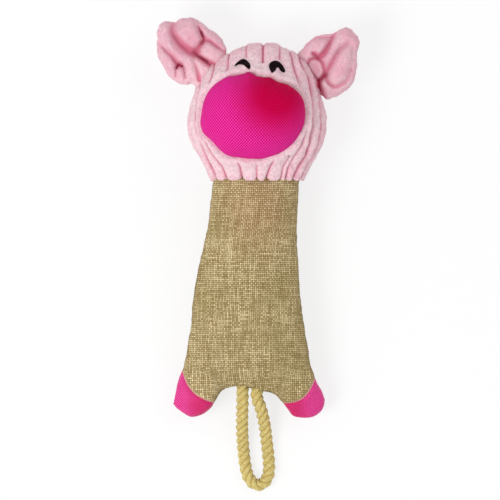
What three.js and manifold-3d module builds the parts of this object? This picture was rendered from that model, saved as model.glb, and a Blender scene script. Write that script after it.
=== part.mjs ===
// A squeaky dog toy in the shape of a pig, lying on its back: plush head and ears, nylon snout and feet,
// linen body, rope loop, and the squeaker inside the head. Millimetres, +Z up out of the face,
// +Y towards the top of the head, origin under the middle of the toy without its rope.
import * as THREE from 'three';
import { mergeVertices } from 'three/addons/utils/BufferGeometryUtils.js';
import Module from 'manifold-3d';

const wasm = await Module();
wasm.setup();

// Cloth, thread and clearances
const plushThickness = 3;
const linenThickness = 1.4;
const nylonThickness = 1;
const threadRadius = 0.5;
const threadSides = 6;
const allowance = 6;
const gap = 0.3;
const overrun = 20;
const floorCut = 0.5;
const weld = 0.0001;

// Head
const headX = -0.8;
const headY = 80;
const headHalfWidth = 57;
const headHalfDepth = 42.5;
const headCrown = 61;
const headJowl = 69.8;
const headSquareness = 2.1;
const neckY = 28.5;
const ribCount = 26;
const ribDepth = 1.8;
const headRings = 10;
const liningColumns = 18;
const liningRings = 7;

// Snout
const snoutX = -4.9;
const snoutY = 82;
const snoutHalfWidth = 41;
const snoutHalfHeight = 34.5;
const snoutRimDrop = 10.5;
const snoutRise = 28;
const snoutSkirt = 8;
const snoutTravel = 9;
const snoutFloor = 0.5;
const snoutSides = 24;

// Eyes
const eyeRadius = 1.9;
const eyeSpan = 13;
const eyeArch = 7;
const eyeRise = 3.5;
const eyeLeftX = -13.5;
const eyeRightX = 14.5;
const eyeSteps = 6;

// Squeaker
const bulbRadius = 22;
const bulbHeight = 35;
const bulbWall = 1.2;
const bulbNeckRadius = 8;
const housingLength = 9;
const housingBoreRadius = 4;
const housingFlange = 1.2;
const squeakerSides = 16;
const reedLength = 8;
const reedWidth = 3;
const reedThickness = 0.5;
const clipLength = 2;
const clipHeight = 2;

// Ears
const earHalfThickness = 6.5;
const earBaseHalfThickness = 4;
const earLength = 46;
const earBaseLength = 41;
const earStandoff = 4.4;
const earClearance = 0.5;
const leftEarTurn = -46.6;
const rightEarTurn = 53.6;
const earTackLength = 9;
const earTackOut = 12;
const earColumns = 8;

// Body and feet
const bodyLength = 190.6;
const hipHalfWidth = 60;
const neckEase = 2.3;
const bellyHalfDepth = 27;
const toeHalfDepth = 24;
const collarHeight = 8;
const legSeamHeight = 20;
const bodyColumns = 12;

// Rope
const ropeDiameter = 9.4;
const ropeTailLength = 18;
const ropeLeftX = -13;
const ropeSpacing = 2.5;
const ropeTackWidth = 3;
const ropeTackThickness = 1;
const ropeSides = 8;
const ropeSteps = 30;

const headZ = headHalfDepth - floorCut;
const snoutRimZ = headZ + headHalfDepth - snoutRimDrop;
const skirtZ = snoutRimZ - snoutSkirt;
const bellyZ = bellyHalfDepth - floorCut;
const toeY = neckY - bodyLength;
const ropeRadius = ropeDiameter / 2;
const ropeRightX = ropeLeftX + ropeDiameter + ropeSpacing;
const colours = {
  plush: { color: 0xf2a9bd, roughness: 0.95, metalness: 0 },
  snoutNylon: { color: 0xe0007c, roughness: 0.55, metalness: 0 },
  footNylon: { color: 0xea2a98, roughness: 0.5, metalness: 0 },
  linen: { color: 0xb29d79, roughness: 0.95, metalness: 0 },
  stuffing: { color: 0xf4f3ef, roughness: 1, metalness: 0 },
  embroidery: { color: 0x1d1218, roughness: 0.6, metalness: 0 },
  cotton: { color: 0xdfcf94, roughness: 0.95, metalness: 0 },
  thread: { color: 0xe8e2d2, roughness: 0.8, metalness: 0 },
  squeakerPlastic: { color: 0xf5f5f0, roughness: 0.35, metalness: 0 },
  reedPlastic: { color: 0xd8d8d2, roughness: 0.3, metalness: 0 },
};

const toy = new THREE.Group();
toy.name = 'squeaky_dog_toy';

// Closed solids from geometries, and named meshes from solids
function solidOf(geometry) {
  const bare = geometry.index ? geometry.toNonIndexed() : geometry.clone();
  for (const name of Object.keys(bare.attributes)) {
    if (name !== 'position') bare.deleteAttribute(name);
  }
  const merged = mergeVertices(bare, weld);
  const index = merged.index.array;
  const kept = [];
  for (let i = 0; i < index.length; i += 3) {
    const [a, b, c] = [index[i], index[i + 1], index[i + 2]];
    if (a !== b && b !== c && c !== a) kept.push(a, b, c);
  }
  return new wasm.Manifold(new wasm.Mesh({
    numProp: 3,
    vertProperties: new Float32Array(merged.attributes.position.array),
    triVerts: new Uint32Array(kept),
  }));
}

function named(name, solid, finish) {
  const mesh = solid.getMesh();
  const geometry = new THREE.BufferGeometry();
  geometry.setAttribute('position', new THREE.BufferAttribute(new Float32Array(mesh.vertProperties), 3));
  geometry.setIndex(new THREE.BufferAttribute(new Uint32Array(mesh.triVerts), 1));
  const piece = new THREE.Mesh(geometry, new THREE.MeshStandardMaterial(colours[finish]));
  piece.name = name;
  toy.add(piece);
}

// Triangles that all wind the same way make a solid; they are turned over if they face inwards
function fromTriangles(corners) {
  const solidFrom = (points) => {
    const geometry = new THREE.BufferGeometry();
    geometry.setAttribute('position', new THREE.Float32BufferAttribute(points.flat(), 3));
    return solidOf(geometry);
  };
  const solid = solidFrom(corners);
  return solid.volume() > 0 ? solid : solidFrom([...corners].reverse());
}

function quad(corners, a, b, c, d) {
  corners.push(a, b, c, a, c, d);
}

function box(low, high) {
  const shape = new THREE.BoxGeometry(...high.map((value, k) => value - low[k]));
  shape.translate(...high.map((value, k) => (value + low[k]) / 2));
  return solidOf(shape);
}

// A straight column whose plan is a closed outline, from one height to another
function column(outline, lowZ, highZ) {
  const shape = new THREE.Shape(outline.map(([x, y]) => new THREE.Vector2(x, y)));
  const body = new THREE.ExtrudeGeometry(shape, { depth: highZ - lowZ, bevelEnabled: false, steps: 1 });
  body.translate(0, 0, lowZ);
  return solidOf(body);
}

// The same, lying along X: the outline is in Y and Z
function beam(outline, lowX, highX) {
  const shape = new THREE.Shape(outline.map(([y, z]) => new THREE.Vector2(y, z)));
  const body = new THREE.ExtrudeGeometry(shape, { depth: highX - lowX, bevelEnabled: false, steps: 1 });
  body.applyMatrix4(new THREE.Matrix4().makeBasis(
    new THREE.Vector3(0, 1, 0), new THREE.Vector3(0, 0, 1), new THREE.Vector3(1, 0, 0),
  ));
  body.translate(lowX, 0, 0);
  return solidOf(body);
}

// The same, lying along Y: the outline is in X and Z
function rail(outline, lowY, highY) {
  const shape = new THREE.Shape(outline.map(([x, z]) => new THREE.Vector2(-x, z)));
  const body = new THREE.ExtrudeGeometry(shape, { depth: highY - lowY, bevelEnabled: false, steps: 1 });
  body.applyMatrix4(new THREE.Matrix4().makeBasis(
    new THREE.Vector3(-1, 0, 0), new THREE.Vector3(0, 0, 1), new THREE.Vector3(0, 1, 0),
  ));
  body.translate(0, lowY, 0);
  return solidOf(body);
}

function ellipse(centreX, centreY, halfWidth, halfHeight, sides) {
  return Array.from({ length: sides }, (_, k) => {
    const turn = (2 * Math.PI * k) / sides;
    return [centreX + halfWidth * Math.cos(turn), centreY + halfHeight * Math.sin(turn)];
  });
}

// A solid of revolution about an upright axis, from a closed profile of radius and height
function turned(profile, x, y, sides) {
  const body = new THREE.LatheGeometry(profile.map(([r, z]) => new THREE.Vector2(r, z)), sides);
  body.rotateX(Math.PI / 2);
  body.translate(x, y, 0);
  return fromTriangles(soup(body));
}

function soup(geometry) {
  const bare = geometry.index ? geometry.toNonIndexed() : geometry;
  const { array } = bare.attributes.position;
  const points = [];
  for (let i = 0; i < array.length; i += 3) points.push([...array.slice(i, i + 3)]);
  return points;
}

// A solid from rings of points, closed by a fan to one point at each end
function stacked(rings, first, last) {
  const corners = [];
  const end = rings[rings.length - 1];
  rings[0].forEach((_, k) => {
    const next = (k + 1) % rings[0].length;
    corners.push(first, rings[0][next], rings[0][k]);
    for (let j = 0; j + 1 < rings.length; j += 1) {
      quad(corners, rings[j][k], rings[j][next], rings[j + 1][next], rings[j + 1][k]);
    }
    corners.push(last, end[k], end[next]);
  });
  return fromTriangles(corners);
}

// A round tube along a curve through points
function tube(points, radius, sides, steps) {
  const path = new THREE.CatmullRomCurve3(points.map((p) => new THREE.Vector3(...p)));
  const round = ellipse(0, 0, radius, radius, sides).map(([x, y]) => new THREE.Vector2(x, y));
  return solidOf(new THREE.ExtrudeGeometry(new THREE.Shape(round), { steps, extrudePath: path }));
}

// A thread laid round inside a closed outline: the ring between two offsets of it, one thread thick
function threadRing(outlineAt, inset, lowZ) {
  const ring = column(outlineAt(inset), lowZ, lowZ + 2 * threadRadius);
  return ring.subtract(column(outlineAt(inset + 2 * threadRadius), lowZ - overrun, lowZ + overrun));
}

function between(rows, at) {
  const after = rows.findIndex(([key]) => key <= at);
  if (after === 0) return rows[0][1];
  if (after < 0) return rows[rows.length - 1][1];
  const [highKey, high] = rows[after - 1];
  const [lowKey, low] = rows[after];
  return low + ((high - low) * (at - lowKey)) / (highKey - lowKey);
}

// Height of the side seam: level through the head, then down to the belly and on to the legs.
// Each row is a share of the body's length from the neck, and a share of the drop to the belly or the legs.
const neckToBellyShares = [[0, 1], [0.15, 0.5], [0.31, 0.06], [0.41, 0]];
const bellyToToeShares = [[0.67, 0.15], [0.9, 0.9], [1, 1.3]];
const alongBody = (share) => neckY - share * bodyLength;
const bodySeamRows = [
  ...neckToBellyShares.map(([along, up]) => [alongBody(along), bellyZ + up * (headZ - bellyZ)]),
  ...bellyToToeShares.map(([along, down]) => [alongBody(along), bellyZ - down * (bellyZ - legSeamHeight)]),
];
const seamRows = [
  [headY + headCrown + overrun, headZ],
  ...bodySeamRows,
  [toeY - overrun, bodySeamRows[bodySeamRows.length - 1][1]],
];
const seamZ = (y) => between(seamRows, y);

// Everything above or below the side seam's surface once that is lifted
function beyondSeam(lift, farZ) {
  const line = seamRows.map(([y, z]) => [y, z + lift]);
  const outline = [...line, [line[line.length - 1][0], farZ], [line[0][0], farZ]];
  return beam(farZ > lift ? outline : outline.reverse(), -2 * headHalfWidth, 2 * headHalfWidth);
}

const farAbove = headZ + headHalfDepth + snoutRise + overrun;
const farBelow = -overrun;
const frontHalf = beyondSeam(gap / 2, farAbove);
const backHalf = beyondSeam(-gap / 2, farBelow);
const frontLayer = (cloth) => frontHalf.subtract(beyondSeam(gap / 2 + cloth, farAbove));
const backLayer = (cloth) => backHalf.subtract(beyondSeam(-gap / 2 - cloth, farBelow));
const seamRoom = (cloth) => {
  const reach = 1.5 * gap + cloth;
  return beyondSeam(-reach, farAbove).subtract(beyondSeam(reach, farAbove));
};
const farX = 4 * headHalfWidth;
const farY = 2 * bodyLength;
const underFloor = box([-farX, -farY, farBelow], [farX, farY, 0]);
const above = (z) => box([-farX, -farY, z], [farX, farY, farAbove]);
const beyondY = (y) => box([-farX, y, farBelow], [farX, farY, farAbove]);

// Head: a ribbed ovoid whose ribs run from the crown to the neck
const power = (value) => Math.sign(value) * Math.abs(value) ** (2 / headSquareness);
const neckShare = (headY - neckY) / headJowl;
const neckLiningShare = (headY - neckY) / (headJowl - plushThickness);
const neckReach = (1 - neckLiningShare ** headSquareness) ** (1 / headSquareness);

// Every ovoid has its rings at the same turns, so that one set inside another keeps its distance.
// The last ring lies past the neck, where the neck's plane cuts it.
const lastTurn = Math.acos(-(((1 + neckShare) / 2) ** (headSquareness / 2)));

function ovoid(inset, ribs, columns, rows) {
  const rings = Array.from({ length: rows }, (_, j) => {
    const turn = (lastTurn * (j + 1)) / rows;
    const reach = power(Math.sin(turn));
    const rise = power(Math.cos(turn));
    return Array.from({ length: columns }, (_, k) => {
      const side = (2 * Math.PI * k) / columns;
      const groove = k % 2 === 1 ? ribs * reach : 0;
      return [
        headX + Math.sin(side) * ((headHalfWidth - inset) * reach - groove),
        headY + rise * ((rise > 0 ? headCrown : headJowl) - inset),
        headZ + Math.cos(side) * ((headHalfDepth - inset) * reach - groove),
      ];
    });
  });
  const lowY = headY + power(Math.cos(lastTurn)) * (headJowl - inset);
  return stacked(rings, [headX, headY + headCrown - inset, headZ], [headX, lowY, headZ]);
}

// Height of the head's front above a point of its plan
function faceZ(x, y) {
  const rise = Math.abs(y - headY) / (y > headY ? headCrown : headJowl);
  const reach = (1 - rise ** headSquareness) ** (1 / headSquareness);
  return headZ + headHalfDepth * reach * Math.sqrt(1 - ((x - headX) / (headHalfWidth * reach)) ** 2);
}

const snoutOutline = (inset) => (
  ellipse(snoutX, snoutY, snoutHalfWidth - inset, snoutHalfHeight - inset, snoutSides)
);
const lining = (inset) => ovoid(inset, 0, liningColumns, liningRings);
const collarTopY = neckY + collarHeight;
const headOuter = ovoid(0, ribDepth, 2 * ribCount, headRings).intersect(beyondY(neckY));
const headInner = lining(plushThickness);
const headLining = lining(plushThickness / 2);
const headAllowance = lining(plushThickness + allowance);
const headThreadRoom = lining(plushThickness + allowance + 2 * threadRadius + 2 * gap);
const headShell = headOuter.subtract(headInner).subtract(underFloor);
const headHem = headLining.subtract(headAllowance).intersect(beyondY(collarTopY + gap));
const snoutHole = column(snoutOutline(0), skirtZ - overrun, farAbove);
const snoutHem = column(snoutOutline(-plushThickness), skirtZ, farAbove).intersect(headLining);
const headFront = headShell.intersect(frontHalf)
  .add(headHem.intersect(frontLayer(plushThickness)))
  .add(snoutHem)
  .subtract(snoutHole);
const headBack = headShell.intersect(backHalf).add(headHem.intersect(backLayer(plushThickness)));

// Snout: a domed cap with a straight skirt, a pad under it, and the squeaker under the pad
const domeShares = [0.25, 0.5, 0.75, 1];

function dome(inset, bottomZ) {
  const rings = domeShares.map((share) => {
    const turn = (share * Math.PI) / 2;
    const z = snoutRimZ + (snoutRise - inset) * Math.cos(turn);
    return snoutOutline(inset).map(([x, y]) => [
      snoutX + (x - snoutX) * Math.sin(turn),
      snoutY + (y - snoutY) * Math.sin(turn),
      z,
    ]);
  });
  rings.push(snoutOutline(inset).map(([x, y]) => [x, y, bottomZ]));
  return stacked(rings, [snoutX, snoutY, snoutRimZ + snoutRise - inset], [snoutX, snoutY, bottomZ]);
}

const bulbTopZ = skirtZ - snoutTravel;
const bulbBottomZ = bulbTopZ - bulbHeight;
const padZ = bulbTopZ + gap;
const padInset = 2 * gap + Math.max(nylonThickness, 2 * threadRadius);
const snoutCap = dome(gap, skirtZ).subtract(dome(gap + nylonThickness, skirtZ - overrun));
const snoutPad = dome(padInset, padZ);
const snoutThread = threadRing(snoutOutline, gap, skirtZ - gap - 2 * threadRadius);

const housingTopZ = bulbBottomZ + housingLength - housingFlange;
const housingLowZ = bulbBottomZ - gap - housingFlange;
const housingRadius = bulbNeckRadius - bulbWall - gap;
const bulbShares = [[0.78, 0.25], [1, 0.42], [0.93, 0.55], [1, 0.68], [0.78, 0.88], [0.4, 0.985]];
const bulbNeckShare = 0.14;
const bulbNeckZ = bulbBottomZ + bulbHeight * bulbNeckShare;

function bulbProfile(inset) {
  return bulbShares.map(([out, up]) => [bulbRadius * out - inset, bulbBottomZ + (bulbHeight - inset) * up]);
}

const bulb = turned([
  [0, bulbTopZ],
  ...bulbProfile(0).reverse(),
  [bulbNeckRadius, bulbNeckZ],
  [bulbNeckRadius, bulbBottomZ],
  [bulbNeckRadius - bulbWall, bulbBottomZ],
  [bulbNeckRadius - bulbWall, bulbNeckZ],
  ...bulbProfile(bulbWall),
  [0, bulbTopZ - bulbWall],
], snoutX, snoutY, squeakerSides);
const housing = turned([
  [housingBoreRadius, housingLowZ],
  [bulbNeckRadius, housingLowZ],
  [bulbNeckRadius, housingLowZ + housingFlange],
  [housingRadius, housingLowZ + housingFlange],
  [housingRadius, housingTopZ],
  [housingBoreRadius, housingTopZ],
  [housingBoreRadius, housingLowZ],
], snoutX, snoutY, squeakerSides);
const reedRootX = snoutX - housingRadius + clipLength;
const reedLowZ = housingTopZ + gap;
const reed = box(
  [reedRootX + gap, snoutY - reedWidth / 2, reedLowZ],
  [reedRootX + gap + reedLength, snoutY + reedWidth / 2, reedLowZ + reedThickness],
);
const clip = box(
  [reedRootX - clipLength, snoutY - reedWidth / 2, reedLowZ],
  [reedRootX, snoutY + reedWidth / 2, reedLowZ + clipHeight],
);

// Stuffing of the head, open to the snout, with a well for the squeaker
const cavityZ = padZ - snoutTravel - snoutFloor;
const wellRadius = bulbRadius + 2 * gap;
const bulbWell = column(
  ellipse(snoutX, snoutY, wellRadius, wellRadius, snoutSides), housingLowZ - gap, farAbove,
);
const headFilling = lining(plushThickness + gap)
  .intersect(beyondY(collarTopY + gap))
  .subtract(headInner.subtract(headThreadRoom).intersect(seamRoom(plushThickness)))
  .subtract(column(snoutOutline(-plushThickness - gap), skirtZ - gap, farAbove))
  .subtract(column(snoutOutline(0), cavityZ, farAbove))
  .subtract(bulbWell);

// The thread that binds the two allowances of the head's side seam, along their free edge
const headBinding = lining(plushThickness + allowance + gap)
  .subtract(lining(plushThickness + allowance + gap + 2 * threadRadius))
  .intersect(beyondY(collarTopY + gap))
  .intersect(beyondSeam(-threadRadius, farAbove))
  .subtract(beyondSeam(threadRadius, farAbove));

named('head_front_panel', headFront, 'plush');
named('head_back_panel', headBack, 'plush');
named('head_stuffing', headFilling, 'stuffing');
named('head_seam_thread', headBinding, 'thread');
named('snout_dome', snoutCap, 'snoutNylon');
named('snout_stuffing', snoutPad, 'stuffing');
named('snout_seam_thread', snoutThread, 'thread');
named('squeaker_bulb', bulb, 'squeakerPlastic');
named('squeaker_reed_housing', housing, 'squeakerPlastic');
named('squeaker_reed', reed, 'reedPlastic');
named('squeaker_reed_clip', clip, 'squeakerPlastic');

// A sewn pillow: a patch between four edges, swelling from their common seam to the front and the back.
// The first edge is an open end, cut square, or tapers like the others. The inset moves every wall inwards.
function samples(points, count) {
  const curve = new THREE.SplineCurve(points.map(([x, y]) => new THREE.Vector2(x, y)));
  return Array.from({ length: count + 1 }, (_, k) => curve.getPointAt(k / count));
}

function pointOn(line, share) {
  const at = share * (line.length - 1);
  const low = Math.min(Math.floor(at), line.length - 2);
  return line[low].clone().lerp(line[low + 1], at - low);
}

function insetEdges({ start, left, right, end, open }, inset) {
  const count = 24;
  const sides = [samples(left, count), samples(end, 2 * count), samples(right, count).reverse()];
  if (!open) sides.push(samples(start, count).reverse());
  const loop = sides.flatMap((side, k) => (k === 0 && open ? side : side.slice(1)));
  const at = (k) => (open ? loop[THREE.MathUtils.clamp(k, 0, loop.length - 1)] : loop.at(k % loop.length));
  const inwards = inset * Math.sign(THREE.ShapeUtils.area(loop));
  const moved = loop.map((point, k) => {
    const along = at(k + 1).clone().sub(at(k - 1)).normalize();
    return point.clone().add(new THREE.Vector2(-along.y, along.x).multiplyScalar(inwards));
  });
  if (!open) moved.unshift(moved[moved.length - 1].clone());
  const leftEdge = moved.slice(0, count + 1);
  const endEdge = moved.slice(count, 3 * count + 1);
  const rightEdge = moved.slice(3 * count, 4 * count + 1).reverse();
  const startEdge = open ? [leftEdge[0], rightEdge[0]] : moved.slice(4 * count, 5 * count + 1).reverse();
  return { left: leftEdge, right: rightEdge, end: endEdge, start: startEdge };
}

function pillow(shape, inset, columns, rows) {
  const edges = insetEdges(shape, inset);
  const across = Array.from({ length: columns + 1 }, (_, i) => (1 - Math.cos((Math.PI * i) / columns)) / 2);
  const steps = [];
  const { startTaperShare, endTaperShare } = shape;
  for (let j = 0; startTaperShare > 0 && j < rows.taper; j += 1) {
    const turn = (Math.PI * j) / (2 * rows.taper);
    steps.push([startTaperShare * (1 - Math.cos(turn)), Math.sin(turn)]);
  }
  for (let j = 0; j <= rows.middle; j += 1) {
    steps.push([startTaperShare + ((1 - endTaperShare - startTaperShare) * j) / rows.middle, 1]);
  }
  for (let j = 1; j <= rows.taper; j += 1) {
    const turn = (Math.PI * j) / (2 * rows.taper);
    steps.push([1 - endTaperShare * (1 - Math.sin(turn)), j === rows.taper ? 0 : Math.cos(turn)]);
  }
  const corner = (line, last) => (last ? line[line.length - 1] : line[0]);
  const patch = steps.map(([v, fullness]) => across.map((u, i) => {
    const [west, east] = [pointOn(edges.left, v), pointOn(edges.right, v)];
    const [north, south] = [pointOn(edges.start, u), pointOn(edges.end, u)];
    const mixed = (k) => (1 - v) * north[k] + v * south[k] + (1 - u) * west[k] + u * east[k]
      - (1 - v) * ((1 - u) * corner(edges.left, false)[k] + u * corner(edges.right, false)[k])
      - v * ((1 - u) * corner(edges.left, true)[k] + u * corner(edges.right, true)[k]);
    const [x, y] = [mixed('x'), mixed('y')];
    const swell = i === 0 || i === columns ? 0 : Math.sin((Math.PI * i) / columns);
    const depth = (shape.halfDepthAt(v, y) - inset) * swell * fullness;
    return { front: [x, y, shape.seamAt(y) + depth], back: [x, y, shape.seamAt(y) - depth] };
  }));
  if (shape.open) {
    const lifted = ([x, y, z]) => [x, y + shape.collar, z];
    patch.unshift(patch[0].map(({ front, back }) => ({ front: lifted(front), back: lifted(back) })));
  }
  const corners = [];
  for (let i = 0; i < columns; i += 1) {
    if (shape.open) {
      quad(corners, patch[0][i].front, patch[0][i + 1].front, patch[0][i + 1].back, patch[0][i].back);
    }
    for (let j = 0; j + 1 < patch.length; j += 1) {
      const [a, b, c, d] = [patch[j][i], patch[j + 1][i], patch[j + 1][i + 1], patch[j][i + 1]];
      quad(corners, a.front, b.front, c.front, d.front);
      quad(corners, d.back, c.back, b.back, a.back);
    }
  }
  return fromTriangles(corners);
}

// Body and legs, with the feet in the same outline: shares of the body's length from the neck,
// and of the hips' half width from the middle
const neckHalfWidth = (headHalfWidth - plushThickness) * neckReach - neckEase;
const neckHalfDepth = (headHalfDepth - plushThickness) * neckReach - neckEase;
const leftSideShares = [
  [0.07, -0.65], [0.15, -0.672], [0.31, -0.777], [0.46, -0.865], [0.61, -0.905], [0.765, -1], [0.867, -1.073],
  [0.943, -1.142],
];
const rightSideShares = [
  [0.08, 0.57], [0.23, 0.54], [0.31, 0.547], [0.46, 0.593], [0.61, 0.655], [0.765, 0.722], [0.867, 0.817],
  [0.931, 0.903],
];
const bottomShares = [
  [0.943, -1.142], [0.969, -1.073], [0.989, -0.965], [0.992, -0.817], [0.982, -0.688], [0.938, -0.595],
  [0.89, -0.457], [0.875, -0.317], [0.882, -0.142], [0.894, 0.078], [0.909, 0.217], [0.931, 0.343],
  [0.96, 0.403], [0.996, 0.493], [1, 0.655], [0.986, 0.777], [0.965, 0.857], [0.931, 0.903],
];
const archShare = 0.894;
const depthShares = [[0.41, 1], [0.67, 0.95]];
const onBody = ([along, across]) => [headX + across * hipHalfWidth, alongBody(along)];
const depthRows = [
  [neckY, neckHalfDepth],
  ...depthShares.map(([along, deep]) => [alongBody(along), deep * bellyHalfDepth]),
  [toeY, toeHalfDepth],
];

function bodySolid(inset, lift) {
  return pillow({
    left: [[headX - neckHalfWidth, neckY], ...leftSideShares.map(onBody)],
    right: [[headX + neckHalfWidth, neckY], ...rightSideShares.map(onBody)],
    end: bottomShares.map(onBody),
    open: true,
    collar: collarHeight + lift,
    startTaperShare: 0,
    endTaperShare: 0.34,
    halfDepthAt: (v, y) => between(depthRows, y),
    seamAt: seamZ,
  }, inset, bodyColumns, { middle: 5, taper: 4 });
}

// Each foot's seam runs across the leg; the foot is what lies beyond it
const leftFootShares = [
  [0.76, -1.25], [0.82, -1.007], [0.887, -0.898], [0.92, -0.763], [0.938, -0.62], [0.95, -0.5],
];
const rightFootShares = [
  [0.775, 0.9], [0.842, 0.777], [0.909, 0.655], [0.938, 0.493], [0.941, 0.372], [0.945, 0.3],
];

function beyondFootSeam(shares, side, clearance) {
  const seam = shares.map(onBody).map(([x, y]) => [x - side * clearance, y + clearance]);
  const outerX = headX + side * 2 * hipHalfWidth;
  const outline = [
    ...seam,
    [seam[seam.length - 1][0], toeY - overrun],
    [outerX, toeY - overrun],
    [outerX, seam[0][1]],
  ];
  return column(side < 0 ? outline : outline.reverse(), farBelow, farAbove);
}

const bodyOuter = bodySolid(0, 0).subtract(underFloor);
const bodyInner = bodySolid(linenThickness, overrun);
const footInner = bodySolid(nylonThickness, 0);
const bodyHem = bodySolid(linenThickness / 2, overrun)
  .subtract(bodySolid(linenThickness + allowance, overrun))
  .subtract(beyondY(neckY));
const bodyHemRoom = bodyInner
  .subtract(bodySolid(linenThickness + allowance + gap, overrun))
  .subtract(beyondY(neckY + gap));
const legEnds = beyondFootSeam(leftFootShares, -1, gap).add(beyondFootSeam(rightFootShares, 1, gap));

// Rope: two tails sewn into the bottom seam, and the loop that swings just outside it
const ropeSeamY = alongBody(archShare);
const ropeHingeY = ropeSeamY - ropeRadius - gap;
const ropeExitZ = seamZ(ropeSeamY);

function tail(x, radius) {
  return rail(ellipse(x, ropeExitZ, radius, radius, ropeSides), ropeSeamY, ropeSeamY + ropeTailLength);
}

const tailHoles = [ropeLeftX, ropeRightX].map((x) => rail(
  ellipse(x, ropeExitZ, ropeRadius + gap, ropeRadius + gap, ropeSides),
  ropeSeamY - overrun,
  ropeSeamY + ropeTailLength + gap,
));
const holes = tailHoles[0].add(tailHoles[1]);
const ropeTackShare = 0.6;
const tackLowY = ropeSeamY + ropeTailLength * ropeTackShare - ropeTackWidth / 2;
const tackZ = ropeExitZ + ropeRadius + gap;
const tackBox = (clearance) => box(
  [ropeLeftX - ropeRadius - clearance, tackLowY - clearance, tackZ - clearance],
  [
    ropeRightX + ropeRadius + clearance,
    tackLowY + ropeTackWidth + clearance,
    tackZ + ropeTackThickness + clearance,
  ],
);

const bodyShell = bodyOuter.subtract(bodyInner);
const bodyFront = bodyShell.intersect(frontHalf).add(bodyHem.intersect(frontLayer(linenThickness)));
const bodyBack = bodyShell.intersect(backHalf).add(bodyHem.intersect(backLayer(linenThickness)));
const bodyFilling = bodySolid(linenThickness + gap, 0)
  .subtract(above(0).subtract(above(gap + linenThickness)))
  .subtract(bodyHemRoom.intersect(seamRoom(linenThickness)))
  .subtract(legEnds)
  .subtract(holes)
  .subtract(tackBox(gap));

function nameFoot(side, shares, way) {
  const region = beyondFootSeam(shares, way, 0);
  const shell = bodyOuter.subtract(footInner).intersect(region);
  named(`foot_${side}_front_panel`, shell.intersect(frontHalf), 'footNylon');
  named(`foot_${side}_back_panel`, shell.intersect(backHalf), 'footNylon');
  named(`foot_${side}_stuffing`, bodySolid(nylonThickness + 2 * gap, 0).intersect(region), 'stuffing');
}

// The loop's points: X, the distance beyond the hinge, and the height over the floor
const route = [
  [-13.2, 7.1, 19.6], [-13.4, 15.1, 16.6], [-13.5, 23.1, 12.4], [-13.2, 31.1, 8.4], [-12.6, 39.1, 5.9],
  [-11.8, 47.1, 5], [-10.9, 54.1, 4.9], [-8.6, 61.3, 4.9], [-4.6, 66.3, 4.9], [0.2, 68, 4.9], [5, 65.9, 4.9],
  [8, 60.7, 4.9], [8.6, 53.6, 4.9], [7.9, 46.1, 5], [7, 38.6, 5.9], [6, 30.6, 8.4], [4.9, 22.6, 12.4],
  [3.3, 14.6, 16.6], [1.3, 7.1, 19.6],
];

function ropeLoop() {
  const ends = [[ropeLeftX, ropeHingeY, ropeExitZ], [ropeRightX, ropeHingeY, ropeExitZ]];
  const loose = route.map(([x, beyond, z]) => [x, ropeHingeY - beyond, z]);
  let loop = tube([ends[0], ...loose, ends[1]], ropeRadius, ropeSides, ropeSteps);
  for (const [x, y, z] of ends) {
    const knob = new THREE.SphereGeometry(ropeRadius, ropeSides, 6);
    knob.translate(x, y, z);
    loop = loop.add(solidOf(knob));
  }
  return loop;
}

named('body_front_panel', bodyFront.subtract(legEnds).subtract(holes), 'linen');
named('body_back_panel', bodyBack.subtract(legEnds).subtract(holes), 'linen');
named('body_stuffing', bodyFilling, 'stuffing');
nameFoot('left', leftFootShares, -1);
nameFoot('right', rightFootShares, 1);
named('rope_loop', ropeLoop(), 'cotton');
named('rope_tail_left', tail(ropeLeftX, ropeRadius), 'cotton');
named('rope_tail_right', tail(ropeRightX, ropeRadius), 'cotton');
named('rope_tack_thread', tackBox(0), 'thread');

// Ears: two layers of plush on a hinge line beside the head. The outlines are shares of half the base along
// the hinge, and of the ear's length out from it. The base edge follows the head.
const earBaseShares = [-1, -0.5, 0, 0.5, 1];
const earBaseOpeningShare = 2.5;
const leftEarShares = {
  lower: [[-1.2, 0.03], [-1.3, 0.24], [-1.18, 0.42], [-0.98, 0.64]],
  outer: [[-0.98, 0.64], [-0.46, 0.87], [0, 1], [0.29, 0.955], [0.5, 0.84], [0.76, 0.79]],
  upper: [[1.18, 0.02], [1.22, 0.2], [1.19, 0.49], [1.04, 0.66], [0.76, 0.79]],
};
const rightEarShares = {
  lower: [[-1.24, -0.04], [-1.32, 0.153], [-1.187, 0.41], [-0.79, 0.62]],
  outer: [[-0.79, 0.62], [-0.49, 0.69], [-0.08, 0.875], [0.17, 0.93], [0.54, 0.89], [0.76, 0.85]],
  upper: [[1.1, 0.06], [1.14, 0.22], [1.08, 0.38], [0.9, 0.6], [0.76, 0.85]],
};

// The head's outline at its side seam, in the groove there, at a turn from the crown
function headEdge(turn) {
  const rise = power(Math.cos(turn));
  return new THREE.Vector2(
    headX + (headHalfWidth - ribDepth) * power(Math.sin(turn)),
    headY + rise * (rise > 0 ? headCrown : headJowl),
  );
}

// An ear's hinge line: along it towards the crown, and out from the head
function hingeAt(degrees) {
  const turn = THREE.MathUtils.degToRad(degrees);
  const edge = headEdge(turn);
  const along = headEdge(turn * (1 - Number.EPSILON ** 0.5)).sub(edge).normalize();
  const out = new THREE.Vector2(-along.y, along.x).multiplyScalar(turn < 0 ? 1 : -1);
  return { turn, along, out, middle: edge.addScaledVector(out, earStandoff) };
}

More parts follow.
